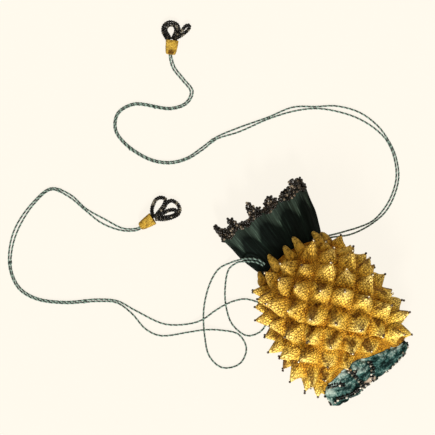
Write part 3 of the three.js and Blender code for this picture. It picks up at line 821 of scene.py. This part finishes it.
# dark green crown, gathered at the neck and fluted towards its edge
leafCrown = {
    "name": "leafCrown",
    "stations": [
        (0.047, 0.005, 0.0, 0.0286, 0.026, 0.016, 0.0086),
        (0.054, 0.006, 0.0, 0.0294, 0.0266, 0.016, 0.008),
        (0.061, 0.006, 0.0, 0.033, 0.0285, 0.014, 0.004),
        (0.07, 0.005, 0.0, 0.0362, 0.0283, 0.012, 0.0008),
        (0.081, 0.0035, 0.0, 0.0396, 0.0264, 0.0106, 0.0),
        (0.093, 0.002, 0.0, 0.0414, 0.0242, 0.01, 0.0),
        (0.104, 0.001, 0.0, 0.0438, 0.023, 0.01, 0.0),
    ],
    "leaves": 10,
    "firstLeaf": math.radians(-9),
    "fluteDepth": 0.0016,
    "pleats": 43,
    "pleatDepth": 0.0004,
    "pleatDrift": (2, 3),  # the pleats crowd and open out this far, this often round the crown
    "scallop": 0.0015,
    "scallopPower": 8,
    "columns": 240,
    "rows": 80,
    "wall": 0.0018,
    "flat": (0.18, 0.06),
}
crownEnd = len(leafCrown["stations"]) - 1


def crownPoint(across, along, lift=0.0):
    station = along * crownEnd
    turn = leafCrown["firstLeaf"] + fullTurn * across
    spot = sectionPoint(leafCrown, turn, station)
    outward = sectionAxes(leafCrown, turn, station)[2]
    wave = math.cos(fullTurn * across * leafCrown["leaves"])
    opened = max(0.0, station - 1) / (crownEnd - 1)
    far, often = leafCrown["pleatDrift"]
    pleat = math.cos(fullTurn * across * leafCrown["pleats"] + far * math.sin(fullTurn * across * often))
    height = (leafCrown["fluteDepth"] * wave + leafCrown["pleatDepth"] * pleat) * opened + lift
    spot += outward * height * squashAt(spot)
    spot.y += leafCrown["scallop"] * wave * along ** leafCrown["scallopPower"]
    return aboveTable(spot)


# dark green yarn of the crown
leafYarn = {
    "roughness": 0.85,
    "shine": 0.08,
    "streakMap": (150.0, 2.2),
    "streaks": (1.0, 4.0, 0.65),
    # the dark of each leaf ends in a round top, higher along its middle
    "roundPower": 2.2,
    "top": (-0.16, 0.855),
    "topSwing": 0.13,
    "topSlope": 5.0,
    "heights": [
        (0.4, (0.003, 0.006, 0.0045)), (0.6, (0.013, 0.021, 0.016)), (0.95, (0.026, 0.04, 0.031)),
    ],
    # the folds between the leaves are paler, and a fine light line runs along both sides of each fold
    "folds": [(0.0, 2.0), (0.35, 1.0)],
    "margin": 0.25,
    "marginSwing": 0.3,
    "hairline": [(0.0, 3.0), (0.1, 1.0)],
    "lines": [(0.42, 0.6), (0.58, 1.1), (0.68, 4.2)],
    "lineShare": 0.95,
    "stitches": (150.0, 45.0),
    "fuzz": 0.9,
    "bump": (0.6, 0.0006),
}


def makeDarkLeaf():
    material, tree, shader = startMaterial("darkLeaf", leafYarn["roughness"], leafYarn["shine"])
    spot = node(tree, "SeparateXYZ", {0: weaveSpot(tree, 1.0, 1.0)})
    leaf = maths(tree, "COSINE", maths(tree, "MULTIPLY", spot.outputs[0], fullTurn * leafCrown["leaves"]))
    streaks = noiseOf(tree, weaveSpot(tree, *leafYarn["streakMap"]), *leafYarn["streaks"])
    dip = maths(tree, "POWER", maths(tree, "MULTIPLY_ADD", leaf, -0.5, 0.5), leafYarn["roundPower"])
    top = maths(tree, "MULTIPLY_ADD", dip, *leafYarn["top"])
    above = shaken(tree, maths(tree, "SUBTRACT", spot.outputs[1], top), streaks, leafYarn["topSwing"])
    above = maths(tree, "MULTIPLY_ADD", above, leafYarn["topSlope"], 0.5)
    colour = ramp(tree, above, leafYarn["heights"])
    fold = ramp(tree, maths(tree, "ADD", leaf, 1.0), leafYarn["folds"])
    colour = mixColours(tree, 1.0, colour, fold, "MULTIPLY")
    margin = maths(tree, "ABSOLUTE", maths(tree, "ADD", leaf, leafYarn["margin"]))
    hairline = ramp(tree, shaken(tree, margin, streaks, leafYarn["marginSwing"]), leafYarn["hairline"])
    colour = mixColours(tree, 1.0, colour, hairline, "MULTIPLY")
    lines = ramp(tree, streaks, leafYarn["lines"])
    setColour(tree, shader, mixColours(tree, leafYarn["lineShare"], colour, lines, "MULTIPLY"))
    setLoft(tree, shader, leafYarn, streaks, knitHeight(tree, *leafYarn["stitches"]))
    return material


def makeBeadMaterial(name, shine, stops):
    material, tree, shader = startMaterial(name, seedBeads["roughness"], shine)
    cloud = noiseOf(tree, objectSpot(tree), *seedBeads["cloud"])
    share = shaken(tree, markOf(tree, "tint"), cloud, seedBeads["cloudSwing"])
    setColour(tree, shader, ramp(tree, share, stops))
    return material


yellowKnit = makeYellowKnit("yellowKnit", *bagBody["stitches"])
darkBead = makeBeadMaterial("darkBead", 0.27, [
    (0.0, (0.004, 0.003, 0.002)), (0.5, (0.014, 0.01, 0.007)),
    (0.75, (0.05, 0.036, 0.024)), (1.0, (0.26, 0.21, 0.15)),
])
blackBead = makeBeadMaterial("blackBead", 0.2, [
    (0.0, (0.002, 0.002, 0.002)), (0.7, (0.006, 0.005, 0.004)),
    (0.86, (0.17, 0.15, 0.11)), (1.0, (0.75, 0.7, 0.6)),
])
# the palest stop of the amber beads is only reached by the painted glints
amberBead = makeBeadMaterial("amberBead", 0.5, [
    (0.0, (0.014, 0.006, 0.003)), (0.5, (0.07, 0.03, 0.008)), (0.85, (0.5, 0.27, 0.05)),
    (1.0, (1.0, 0.86, 0.58)),
])


def makeBody():
    bm = newMesh("rise", "hollow")
    # the rise layer paints shade in the valleys, the hollow layer paints shade in the dents
    rollGrid(bm, bagBody["columns"], bagBody["rows"], bodyPoint, rise=bodyRise, hollow=bodyHollowShade)
    body = addPiece("bagBody", bm, yellowKnit, "bag_body")
    thicken(body, bagBody["wall"])
    bm = newMesh("rise")
    for angle, tipStation in neckTabs["tabs"]:
        addNeckTab(bm, angle, tipStation)
    closeEnds(bm)
    bmesh.ops.recalc_face_normals(bm, faces=bm.faces)
    addPiece("neckTabs", bm, makeYellowKnit("tabKnit", *neckTabs["stitches"]), "bag_body")


# one or two dark beads on the point of each spike, lighter on the upper side as a painted highlight, and on
# many upper spikes a small pale bead as a painted glint
tipBeads = {
    "radius": 0.00118,
    "sink": 0.0004,
    "lowest": 0.0016,
    "tints": (0.25, 0.45),  # share that is chance, and share that grows towards the upper side, a painted highlight
    "pairs": 0.4,           # share of the spikes with two beads
    "pairReach": 1.7,
    "pairDrop": -0.2,
    "glintShare": 0.8,           # share of the upper spikes with a small pale bead too, a painted glint
    "glintFrom": 0.35,
    "glintRadius": 0.00068,
    "glintRise": 1.2,
    "glintTint": 1.4,
    "seed": 5,
    "glintSeed": 6,
}


def makeTipBeads():
    chance = random.Random(tipBeads["seed"])
    glintChance = random.Random(tipBeads["glintSeed"])
    beads = []
    radius = tipBeads["radius"]
    uneven, paintedUpperLight = tipBeads["tints"]

    def beside(draws, rise):
        return Vector((draws.uniform(-1, 1), draws.uniform(-1, 1), rise)).normalized()

    for row, column in spikes:
        across = spikeColumn(row, column) / bagBody["spikes"]
        outward = sectionAxes(bagBody, bodyTurn(across), row)[2]
        spot = bodyPoint(across, row / bodyEnd) + outward * (radius - tipBeads["sink"])
        # beads on the upper side are lighter: painted highlight
        tint = uneven * chance.random() + paintedUpperLight * max(0.0, outward.z)
        pair = chance.random() < tipBeads["pairs"]
        if spot.z < tipBeads["lowest"]:
            continue
        beads.append((spot, radius, tint))
        # a small pale bead beside the point: a painted glint
        if outward.z > tipBeads["glintFrom"] and glintChance.random() < tipBeads["glintShare"]:
            pale = spot + beside(glintChance, tipBeads["glintRise"]) * radius
            beads.append((pale, tipBeads["glintRadius"], tipBeads["glintTint"]))
        if pair:
            second = spot + beside(chance, tipBeads["pairDrop"]) * tipBeads["pairReach"] * radius
            beads.append((second, radius, tint))
    addBeads("spikeBeads", beads, amberBead, "bag_body")


def makeCrown():
    bm = newMesh()
    rollGrid(bm, leafCrown["columns"], leafCrown["rows"], crownPoint)
    crown = addPiece("leafCrown", bm, makeDarkLeaf(), "leaf_crown")
    thicken(crown, leafCrown["wall"])
    return crown


# beads along the crown's edge: a band of rows, and a cluster that stands up from the band on each leaf
edging = {
    "radius": 0.00125,
    "pitch": 0.0021,
    "rowPitch": 0.0018,
    "layers": (0.7, -0.7),  # rows in front and behind, in radii from the middle of the leaf's wall
    "start": -0.001,        # the first row lies on the leaf's edge
    "band": 0.0038,
    "highest": 0.015,
    # turn of each cluster in degrees, how far it reaches and its half width at the band
    "clusters": [
        (-88, 0.0145, 0.0085), (-70, 0.009, 0.005), (-47, 0.0125, 0.0045), (-13, 0.0135, 0.0052),
        (14, 0.0105, 0.0062), (60, 0.0115, 0.007), (80, 0.0105, 0.006), (112, 0.009, 0.005),
        (148, 0.009, 0.005), (184, 0.009, 0.005), (220, 0.009, 0.005), (250, 0.009, 0.005),
    ],
    "slack": 0.0006,
    "droop": 0.12,
    "jitter": 0.0006,
    "gaps": 0.16,           # share of the places in the band that have lost their bead
    "sizes": (0.9, 1.1),
    "tintPower": 1.8,       # the higher, the fewer light beads
    "fineSteps": 1440,
    "seed": 3,
}


def edgeSpots():
    # spots round the crown's edge, an even pitch apart, with the turn of each
    fine = edging["fineSteps"]
    line = [crownPoint(step / fine, 1.0) for step in range(fine + 1)]
    middle = leafCrown["wall"] / 2
    spots, walked = [], 0.0
    for step in range(fine):
        if walked <= 0:
            turn = leafCrown["firstLeaf"] + fullTurn * step / fine
            outward = sectionAxes(leafCrown, turn, crownEnd)[2]
            spots.append((turn, line[step] - outward * middle, outward))
            walked += edging["pitch"]
        walked -= (line[step + 1] - line[step]).length
    return spots


def makeEdging():
    chance = random.Random(edging["seed"])
    beads = []
    radius = edging["radius"]
    spots = edgeSpots()
    middles = []
    for angle, reach, half in edging["clusters"]:
        centre = math.radians(angle)
        aways = [abs(math.remainder(turn - centre, fullTurn)) for turn, spot, outward in spots]
        middles.append((aways.index(min(aways)), reach, half))

    def inCluster(index, lift):
        for middle, reach, half in middles:
            away = abs(math.remainder(index - middle, len(spots))) * edging["pitch"]
            room = 1 - max(0.0, lift - edging["band"]) / (reach - edging["band"])
            if room >= 0 and away <= half * math.sqrt(room) + edging["slack"]:
                return True
        return False

    for index, (turn, spot, outward) in enumerate(spots):
        lift, row = edging["start"], 0
        while lift < edging["highest"]:
            stands = lift <= edging["band"] and chance.random() > edging["gaps"]
            stands = stands or inCluster(index, lift)
            for number, layer in enumerate(edging["layers"]):
                if not stands:
                    break
                shake = Vector([edging["jitter"] * chance.uniform(-1, 1) for axis in range(3)])
                beside = spots[(index + (row + number) % 2) % len(spots)][1]
                bead = spot.lerp(beside, 0.5) + outward * layer * radius
                bead += Vector((0.0, lift, -edging["droop"] * lift)) + shake
                size = radius * chance.uniform(*edging["sizes"])
                beads.append((aboveTable(bead, radius), size, chance.random() ** edging["tintPower"]))
            lift += edging["rowPitch"]
            row += 1
    addBeads("crownBeads", beads, darkBead, "crown_edging")


# blue-green base: a cup that closes in a disc of pillowy sectors, with lines of beads between them
baseCalyx = {
    "centre": Vector((-0.006, -0.0745, 0.015)),
    "gap": 0.0002,
    "corner": 0.0012,
    "side": 0.3,         # share of the way to the middle that is the cup's side
    "turnOver": 4,       # the disc faces straight back from a quarter of the way in
    "swellBelow": 0.0032,
    "swellAbove": 0.0026,
    # turns of the lines between the sectors in degrees, on the upper half and on the lower one
    "upperTurns": [-88, -62, -19, 9, 48, 74],
    "lowerTurns": [105, 145, 180, 215, 245],
    "pillow": 0.0018,
    "pillowSink": 0.4,
    "pillowPower": 0.7,
    "columns": 220,
    "rings": 48,
    "wall": 0.0018,
    "hemLift": 0.0007,
    "hemShare": 0.08,
    "leastRelief": 0.2,  # share of the relief that is left where the base lies on the table
    "wrinkle": 0.0014,
    "wrinkleScale": 140.0,
    "wrinklePower": 4,   # the higher, the nearer the wrinkles come to the middle
    "creaseDepth": 0.0019,
    "creaseScale": Vector((95.0, 150.0, 110.0)),
    "creaseWidth": 0.1,
    "beadRadius": 0.00115,
    "beadPitch": 0.0021,
    "beadSizes": (0.88, 1.08),
    "beadLift": (0.5, 0.6),  # in radii, on the upper half and on the lower one
    "paleTints": (0.82, 1.02),
    "darkTints": (0.0, 0.65),
    "heapReach": 0.0022,
    "dropFrom": 0.2,
    "sideHeight": 0.015,
    "underReach": 0.034,
    "underPale": 3,
    "seed": 9,
}


def sectorPlace(turn):
    # 0 on a line of beads, 1 half way to the next
    angles = baseCalyx["upperTurns"] + baseCalyx["lowerTurns"]
    turns = sorted(math.radians(angle) % fullTurn for angle in angles)
    at = turn % fullTurn
    after = next((value for value in turns if value > at), turns[0] + fullTurn)
    before = max((value for value in turns if value <= at), default=turns[-1] - fullTurn)
    return math.sin((at - before) / (after - before) * math.pi)


def creaseAt(spot):
    # 1 along the bottom of a crease in the cloth, 0 beside it
    scale = baseCalyx["creaseScale"]
    height = noise.noise(Vector((spot.x * scale.x, spot.y * scale.y, spot.z * scale.z)))
    return math.exp(-(height / baseCalyx["creaseWidth"]) ** 2)


def calyxPoint(turn, share, lift=0.0):
    # share runs from the edge on the body over the corner to the middle of the base
    side = baseCalyx["side"]
    top = max(0.0, math.cos(turn))
    if share < side:
        station = edgeStation(turn) * (1 - share / side)
        spot = sectionPoint(bagBody, turn, station)
        outward = sectionAxes(bagBody, turn, station)[2]
        spot.y -= baseCalyx["gap"] + (baseCalyx["corner"] - baseCalyx["gap"]) * share / side
        inner = 0.0
        pushed = outward
    else:
        inner = (share - side) / (1 - side)
        spot = sectionPoint(bagBody, turn, 0.0)
        spot.y -= baseCalyx["corner"]
        spot = spot.lerp(baseCalyx["centre"], inner)
        swell = baseCalyx["swellBelow"] + (baseCalyx["swellAbove"] - baseCalyx["swellBelow"]) * top
        spot.y -= swell * 4 * inner * (1 - inner)
        corner = sectionAxes(bagBody, turn, 0.0)[2]
        backwards = Vector((0.0, -1.0, 0.0))
        pushed = corner.lerp(backwards, min(1.0, inner * baseCalyx["turnOver"])).normalized()
    pillow = baseCalyx["pillow"] * (sectorPlace(turn) - baseCalyx["pillowSink"])
    pillow *= math.sin(min(1.0, share) * math.pi) ** baseCalyx["pillowPower"]
    wrinkle = noise.noise(spot * baseCalyx["wrinkleScale"]) * baseCalyx["wrinkle"]
    wrinkle *= 1 - inner ** baseCalyx["wrinklePower"]
    wrinkle -= baseCalyx["creaseDepth"] * creaseAt(spot)
    hem = baseCalyx["hemLift"] * max(0.0, 1 - share / baseCalyx["hemShare"])
    spot += pushed * (pillow + wrinkle + lift + hem) * min(1.0, baseCalyx["leastRelief"] + squashAt(spot))
    return aboveTable(spot)


# blue-green yarn of the base
tealYarn = {
    "roughness": 0.85,
    "shine": 0.03,
    "patches": (105.0, 4.0, 0.6),
    "grain": (700.0, 2.0, 0.7),
    "grainSwing": 0.5,
    "rim": [(0.55, 0.03), (0.88, 0.2)],  # the cup's side is paler than the disc
    "colours": [
        (0.43, (0.001, 0.005, 0.004)), (0.53, (0.009, 0.034, 0.03)),
        (0.63, (0.05, 0.125, 0.112)), (0.8, (0.42, 0.52, 0.46)),
    ],
    # painted shade along the bottoms of the creases
    "creaseShadeShare": 0.9,
    "creaseShadeColour": (0.003, 0.009, 0.009, 1),
    # pale worn spot beside the middle of the base
    "wornSpot": (-0.002, -0.0755, 0.0215),
    "wornSwing": 0.006,
    "wornScale": 100.0,
    "wornShares": [(0.54, 1.0), (0.74, 0.0)],
    "wornColour": (0.52, 0.4, 0.3, 1),
    "stitches": (150.0, 26.0),
    "fuzz": 0.9,
    "bump": (0.7, 0.0006),
}


def makeTealKnit():
    material, tree, shader = startMaterial("tealKnit", tealYarn["roughness"], tealYarn["shine"])
    spot = objectSpot(tree)
    patches = noiseOf(tree, spot, *tealYarn["patches"])
    grain = noiseOf(tree, spot, *tealYarn["grain"])
    rim = ramp(tree, markOf(tree, "rim"), tealYarn["rim"])
    share = maths(tree, "ADD", shaken(tree, patches, grain, tealYarn["grainSwing"]), rim)
    colour = ramp(tree, share, tealYarn["colours"])
    # painted shade in the creases
    crease = maths(tree, "MULTIPLY", markOf(tree, "crease"), tealYarn["creaseShadeShare"])
    colour = mixColours(tree, crease, colour, tealYarn["creaseShadeColour"])
    places = {0: spot, 1: tealYarn["wornSpot"]}
    away = node(tree, "VectorMath", places, operation="DISTANCE").outputs["Value"]
    ragged = shaken(tree, away, patches, tealYarn["wornSwing"])
    worn = ramp(tree, maths(tree, "MULTIPLY", ragged, tealYarn["wornScale"]), tealYarn["wornShares"])
    setColour(tree, shader, mixColours(tree, worn, colour, tealYarn["wornColour"]))
    setLoft(tree, shader, tealYarn, grain, knitHeight(tree, *tealYarn["stitches"]))
    return material


def makeBase():
    bm = newMesh("rim", "crease")
    rollGrid(bm, baseCalyx["columns"], baseCalyx["rings"],
             lambda across, along: calyxPoint(-fullTurn * across, along),
             rim=lambda across, along: 1.0 - along,
             crease=lambda across, along: creaseAt(calyxPoint(-fullTurn * across, along)))
    cloth = BVHTree.FromBMesh(bm)
    base = addPiece("baseCalyx", bm, makeTealKnit(), "base_calyx")
    thicken(base, baseCalyx["wall"])
    addBaseBeads(cloth)


# lines of beads on the upper half of the base, as routes in the lay-out frame: number of rows,
# which bead of the first row is pale each time, and the route
baseTrails = [
    (2, 2, [(0.0158, -0.0514), (0.0207, -0.0564), (0.0243, -0.06), (0.0279, -0.0636), (0.0302, -0.0681)]),
    (2, 2, [(0.0358, -0.0455), (0.0385, -0.0501), (0.039, -0.0546), (0.0382, -0.0605)]),
    (2, 4, [(-0.0054, -0.0677), (0.0, -0.0686), (0.0054, -0.0672), (0.0099, -0.0668), (0.0148, -0.0668)]),
    (2, 4, [(0.009, -0.0798), (0.0153, -0.078), (0.0225, -0.0753), (0.027, -0.0717), (0.0315, -0.0686),
            (0.0369, -0.0668)]),
    (1, 2, [(0.0522, -0.0555), (0.0576, -0.0506), (0.0621, -0.0456), (0.0666, -0.0416), (0.0698, -0.0384)]),
]
# small heaps of beads: spot in the lay-out frame and number of beads
baseHeaps = [
    (0.0027, -0.0834, 5), (0.009, -0.0798, 4), (0.0274, -0.0708, 5), (0.0684, -0.0272, 3),
    (0.0742, -0.0312, 4), (0.0693, -0.0391, 4), (-0.0063, -0.0672, 4), (0.0198, -0.0528, 4),
    (0.0234, -0.0551, 3),
]


def addBaseBeads(cloth):
    chance = random.Random(baseCalyx["seed"])
    beads = []
    radius, pitch = baseCalyx["beadRadius"], baseCalyx["beadPitch"]
    upperLift, lowerLift = baseCalyx["beadLift"]

    def bead(spot, pale):
        tint = chance.uniform(*baseCalyx["paleTints" if pale else "darkTints"])
        beads.append((aboveTable(spot, radius), radius * chance.uniform(*baseCalyx["beadSizes"]), tint))

    def onCloth(x, y):
        found = cloth.ray_cast(layOut(x, y, baseCalyx["dropFrom"]), Vector((0.0, 0.0, -1.0)))
        if found[0] is None:
            found = cloth.find_nearest(layOut(x, y, baseCalyx["sideHeight"]))
        return found[0] + found[1] * radius * upperLift

    for rows, paleStep, trail in baseTrails:
        line = evenSteps(smoothRoute([Vector((x, y, 0.0)) for x, y in trail], 0.0), pitch)
        for index, spot in enumerate(line):
            side = sideOf(line, index)[0]
            for row in range(rows):
                place = spot + side * row * pitch
                bead(onCloth(place.x, place.y), row == 0 and index % paleStep == 0)
    for x, y, count in baseHeaps:
        for number in range(count):
            shift = Vector((chance.uniform(-1, 1), chance.uniform(-1, 1), 0.0)) * baseCalyx["heapReach"]
            bead(onCloth(x + shift.x, y + shift.y), number == 0)
    steps = round(baseCalyx["underReach"] / pitch)
    for angle in baseCalyx["lowerTurns"]:
        for step in range(steps):
            share = baseCalyx["side"] + (1 - baseCalyx["side"]) * step / steps
            spot = calyxPoint(math.radians(angle), share, radius * lowerLift)
            bead(spot, step % baseCalyx["underPale"] == 0)
    addBeads("baseBeads", beads, blackBead, "base_calyx")


# tassels: a knitted cap on the end of each drawstring, and loops of beads
tassels = {
    "right": {"x": -0.1408, "y": 0.23, "turn": 83.0, "length": 0.0132, "neck": 0.0046, "mouth": 0.0058,
              "darkSpot": 1.0},
    "left": {"x": -0.1682, "y": 0.0752, "turn": 32.5, "length": 0.0138, "neck": 0.0038, "mouth": 0.0058,
             "darkSpot": 0.2},
    "flatness": 0.8,
    "wall": 0.0012,
    "recess": 0.003,
    "round": 0.0008,
    # dimple that the cord goes into: radius and depth, from its middle to its edge
    "dimple": [(0.0, 0.0024), (0.0013, 0.0024), (0.0017, 0.0004), (0.0022, 0.0)],
    "bulge": 0.0002,
    "lip": 0.0002,
    "step": 0.0004,
    "sides": 40,
    "uneven": 0.0003,
    "unevenScale": (2, 400),  # round the cap and along it
    "rise": 0.25,
    "stitches": (34, 22),
    "speckled": 0.75,
    "darkSpotAlong": 0.0022,  # dark spot on the cap above the cord's end, in the same dark brown as the painted shade of the hollows
    "darkSpotReach": 0.0034,
    "beadRadius": 0.00132,
    "beadPitch": 0.002,
    "beadSizes": (0.9, 1.02),
    "beadLift": 0.0004,
    "beadTints": 0.86,
    "seed": 21,
}

# number of strings side by side, the gap between them, and the loop's route in the lay-out frame
tasselLoops = {
    "right": [
        (3, 0.0019, [
            (-0.1424, 0.244, 0.0034), (-0.1442, 0.2472, 0.002), (-0.1461, 0.2506, 0.0002),
            (-0.146, 0.2544, 0.0), (-0.1434, 0.2574, 0.0), (-0.1394, 0.258, 0.0),
            (-0.1355, 0.2558, 0.0), (-0.1348, 0.2514, 0.0002), (-0.1362, 0.247, 0.002),
            (-0.1376, 0.244, 0.0034)]),
        (2, 0.0012, [
            (-0.1368, 0.2448, 0.0034), (-0.134, 0.2478, 0.0018), (-0.1294, 0.2532, 0.0),
            (-0.1264, 0.2562, 0.0), (-0.1242, 0.2562, 0.0), (-0.1242, 0.2536, 0.0),
            (-0.128, 0.2496, 0.0), (-0.132, 0.2466, 0.0016), (-0.136, 0.2446, 0.0034)]),
    ],
    "left": [
        (2, 0.0015, [
            (-0.1564, 0.084, 0.0032), (-0.1576, 0.0896, 0.0014), (-0.1564, 0.095, 0.0),
            (-0.1536, 0.0998, 0.0), (-0.149, 0.1015, 0.0), (-0.1454, 0.0996, 0.0),
            (-0.1466, 0.095, 0.0), (-0.15, 0.0902, 0.0008), (-0.1546, 0.0844, 0.0032)]),
        (2, 0.0015, [
            (-0.1544, 0.084, 0.0032), (-0.149, 0.0886, 0.0012), (-0.1466, 0.0926, 0.0),
            (-0.144, 0.0968, 0.0), (-0.14, 0.0986, 0.0), (-0.1354, 0.0964, 0.0),
            (-0.1326, 0.0914, 0.0), (-0.134, 0.0866, 0.0), (-0.1394, 0.0836, 0.0),
            (-0.146, 0.082, 0.0008), (-0.1536, 0.0822, 0.0032)]),
        (2, 0.0015, [
            (-0.1536, 0.0834, 0.0032), (-0.1476, 0.0872, 0.0012), (-0.1426, 0.0898, 0.0),
            (-0.1374, 0.0904, 0.0), (-0.1348, 0.0886, 0.0), (-0.137, 0.086, 0.0),
            (-0.142, 0.0842, 0.0002), (-0.1474, 0.0836, 0.0012), (-0.1534, 0.0828, 0.0032)]),
    ],
}


def capPlacing(cap):
    # from a cap that stands on its cord end, with its axis along y, to where it lies
    tilt = math.atan2((cap["mouth"] - cap["neck"]) * tassels["flatness"], cap["length"])
    height = cap["neck"] * tassels["flatness"] + tassels["round"] / 2
    turn = math.radians(cap["turn"] - 90) - photoCamera["layAngle"]
    where = Matrix.Translation(layOut(cap["x"], cap["y"], height))
    where = where @ Matrix.Rotation(turn, 4, "Z") @ Matrix.Rotation(tilt, 4, "X")
    return where @ Matrix.Diagonal((1.0, 1.0, tassels["flatness"], 1.0))


def makeCap(side, material):
    cap = tassels[side]
    placing = capPlacing(cap)
    neck, mouth, long = cap["neck"], cap["mouth"], cap["length"]
    edge, lip, inside = tassels["round"], tassels["lip"], mouth - tassels["wall"]
    # profile from the cord's end over the outside, round the mouth and down into it
    profile = tassels["dimple"] + [
        (neck - edge, edge * 0.25), (neck, edge * 1.4), ((neck + mouth) / 2 + tassels["bulge"], long * 0.5),
        (mouth, long - edge), (mouth - lip, long), (inside, long - lip / 2),
        (inside, long - tassels["recess"]), (0.0, long - tassels["recess"]),
    ]
    line = evenSteps([Vector((radius, along, 0.0)) for radius, along in profile], tassels["step"])
    rows = len(line) - 1
    roundScale, alongScale = tassels["unevenScale"]

    def place(across, along):
        radius, height = line[round(along * rows)].xy
        angle = fullTurn * across
        around = Vector((math.cos(angle), math.sin(angle))) * roundScale
        swell = noise.noise(Vector((around.x, height * alongScale, around.y)))
        radius += tassels["uneven"] * swell * min(1.0, radius / neck)
        return aboveTable(placing @ Vector((radius * math.sin(angle), height, radius * math.cos(angle))))

    def darkSpot(across, along):
        radius, height = line[round(along * rows)].xy
        angle = fullTurn * across
        if math.cos(angle) <= 0:
            return 0.0
        away = Vector((radius * math.sin(angle), height - tassels["darkSpotAlong"])).length
        return max(0.0, 1 - away / tassels["darkSpotReach"]) * cap["darkSpot"]

    bm = newMesh("rise", "hollow")
    rollGrid(bm, tassels["sides"], rows, place, rise=lambda across, along: tassels["rise"], hollow=darkSpot)
    bmesh.ops.recalc_face_normals(bm, faces=bm.faces)
    return addPiece(side + "TasselCap", bm, material, side + "_tassel_cap")


def makeLoops(side):
    chance = random.Random(tassels["seed"])
    beads = []
    radius = tassels["beadRadius"]
    for strings, gap, route in tasselLoops[side]:
        line = smoothRoute([layOut(x, y, z + radius) for x, y, z in route], radius)
        for string in range(strings):
            shift = (string - (strings - 1) / 2) * gap
            shifted = [spot + sideOf(line, index)[0] * shift for index, spot in enumerate(line)]
            for spot in evenSteps(shifted, tassels["beadPitch"]):
                bead = spot + Vector((0.0, 0.0, tassels["beadLift"] * chance.random()))
                size = radius * chance.uniform(*tassels["beadSizes"])
                beads.append((bead, size, chance.random() * tassels["beadTints"]))
    addBeads(side + "TasselLoops", beads, blackBead, side + "_tassel_loops")


makeBody()
makeTipBeads()
print("body made")
crown = makeCrown()
makeEdging()
print("crown made")
makeBase()
print("base made")
capKnit = makeYellowKnit("capKnit", *tassels["stitches"], speckled=tassels["speckled"], paintedLightFalloff=0.0)
for side in ("right", "left"):
    cap = makeCap(side, capKnit)
    makeLoops(side)
print("tassels made")


# pale even floor, and soft light from the lower edge of the picture
studio = {
    "floorSize": 30.0,
    "floorColour": (1.0, 0.947, 0.846, 1.0),
    "floorGlow": 0.93,
    "floorBase": 0.06,
    "floorRoughness": 0.9,
    "floorShine": 0.0,
    "sunTurn": -90.0,       # where the light comes from in the picture, counted from its right
    "sunHeight": 32.0,
    "sunPower": 4.1,
    "sunAngle": 16.0,
    "worldColour": (1.0, 0.92, 0.77, 1.0),
    "worldPower": 0.71,
}


def addStudio():
    bm = bmesh.new()
    bmesh.ops.create_grid(bm, x_segments=1, y_segments=1, size=studio["floorSize"] / 2)
    mesh = bpy.data.meshes.new("floor")
    bm.to_mesh(mesh)
    bm.free()
    colour = studio["floorColour"]
    material, tree, shader = startMaterial("floorPaper", studio["floorRoughness"], studio["floorShine"])
    base = [value * studio["floorBase"] for value in colour[:3]]
    shader.inputs["Base Color"].default_value = base + [1.0]
    shader.inputs["Emission Color"].default_value = colour
    shader.inputs["Emission Strength"].default_value = studio["floorGlow"]
    mesh.materials.append(material)
    floor = bpy.data.objects.new("floor", mesh)
    floor.visible_diffuse = False
    scene.collection.objects.link(floor)

    light = bpy.data.lights.new("softSun", "SUN")
    light.energy = studio["sunPower"]
    light.angle = math.radians(studio["sunAngle"])
    turn, height = math.radians(studio["sunTurn"]), math.radians(studio["sunHeight"])
    level = math.cos(height)
    lightFrom = layOut(math.cos(turn) * level, math.sin(turn) * level, math.sin(height))
    sun = bpy.data.objects.new("softSun", light)
    sun.rotation_euler = lightFrom.to_track_quat("Z", "Y").to_euler()
    scene.collection.objects.link(sun)

    world = bpy.data.worlds.new("studio")
    scene.world = world
    world.use_nodes = True
    background = world.node_tree.nodes["Background"]
    background.inputs["Color"].default_value = studio["worldColour"]
    background.inputs["Strength"].default_value = studio["worldPower"]
    scene.view_settings.view_transform = "Standard"


addStudio()
print("floor and light made")
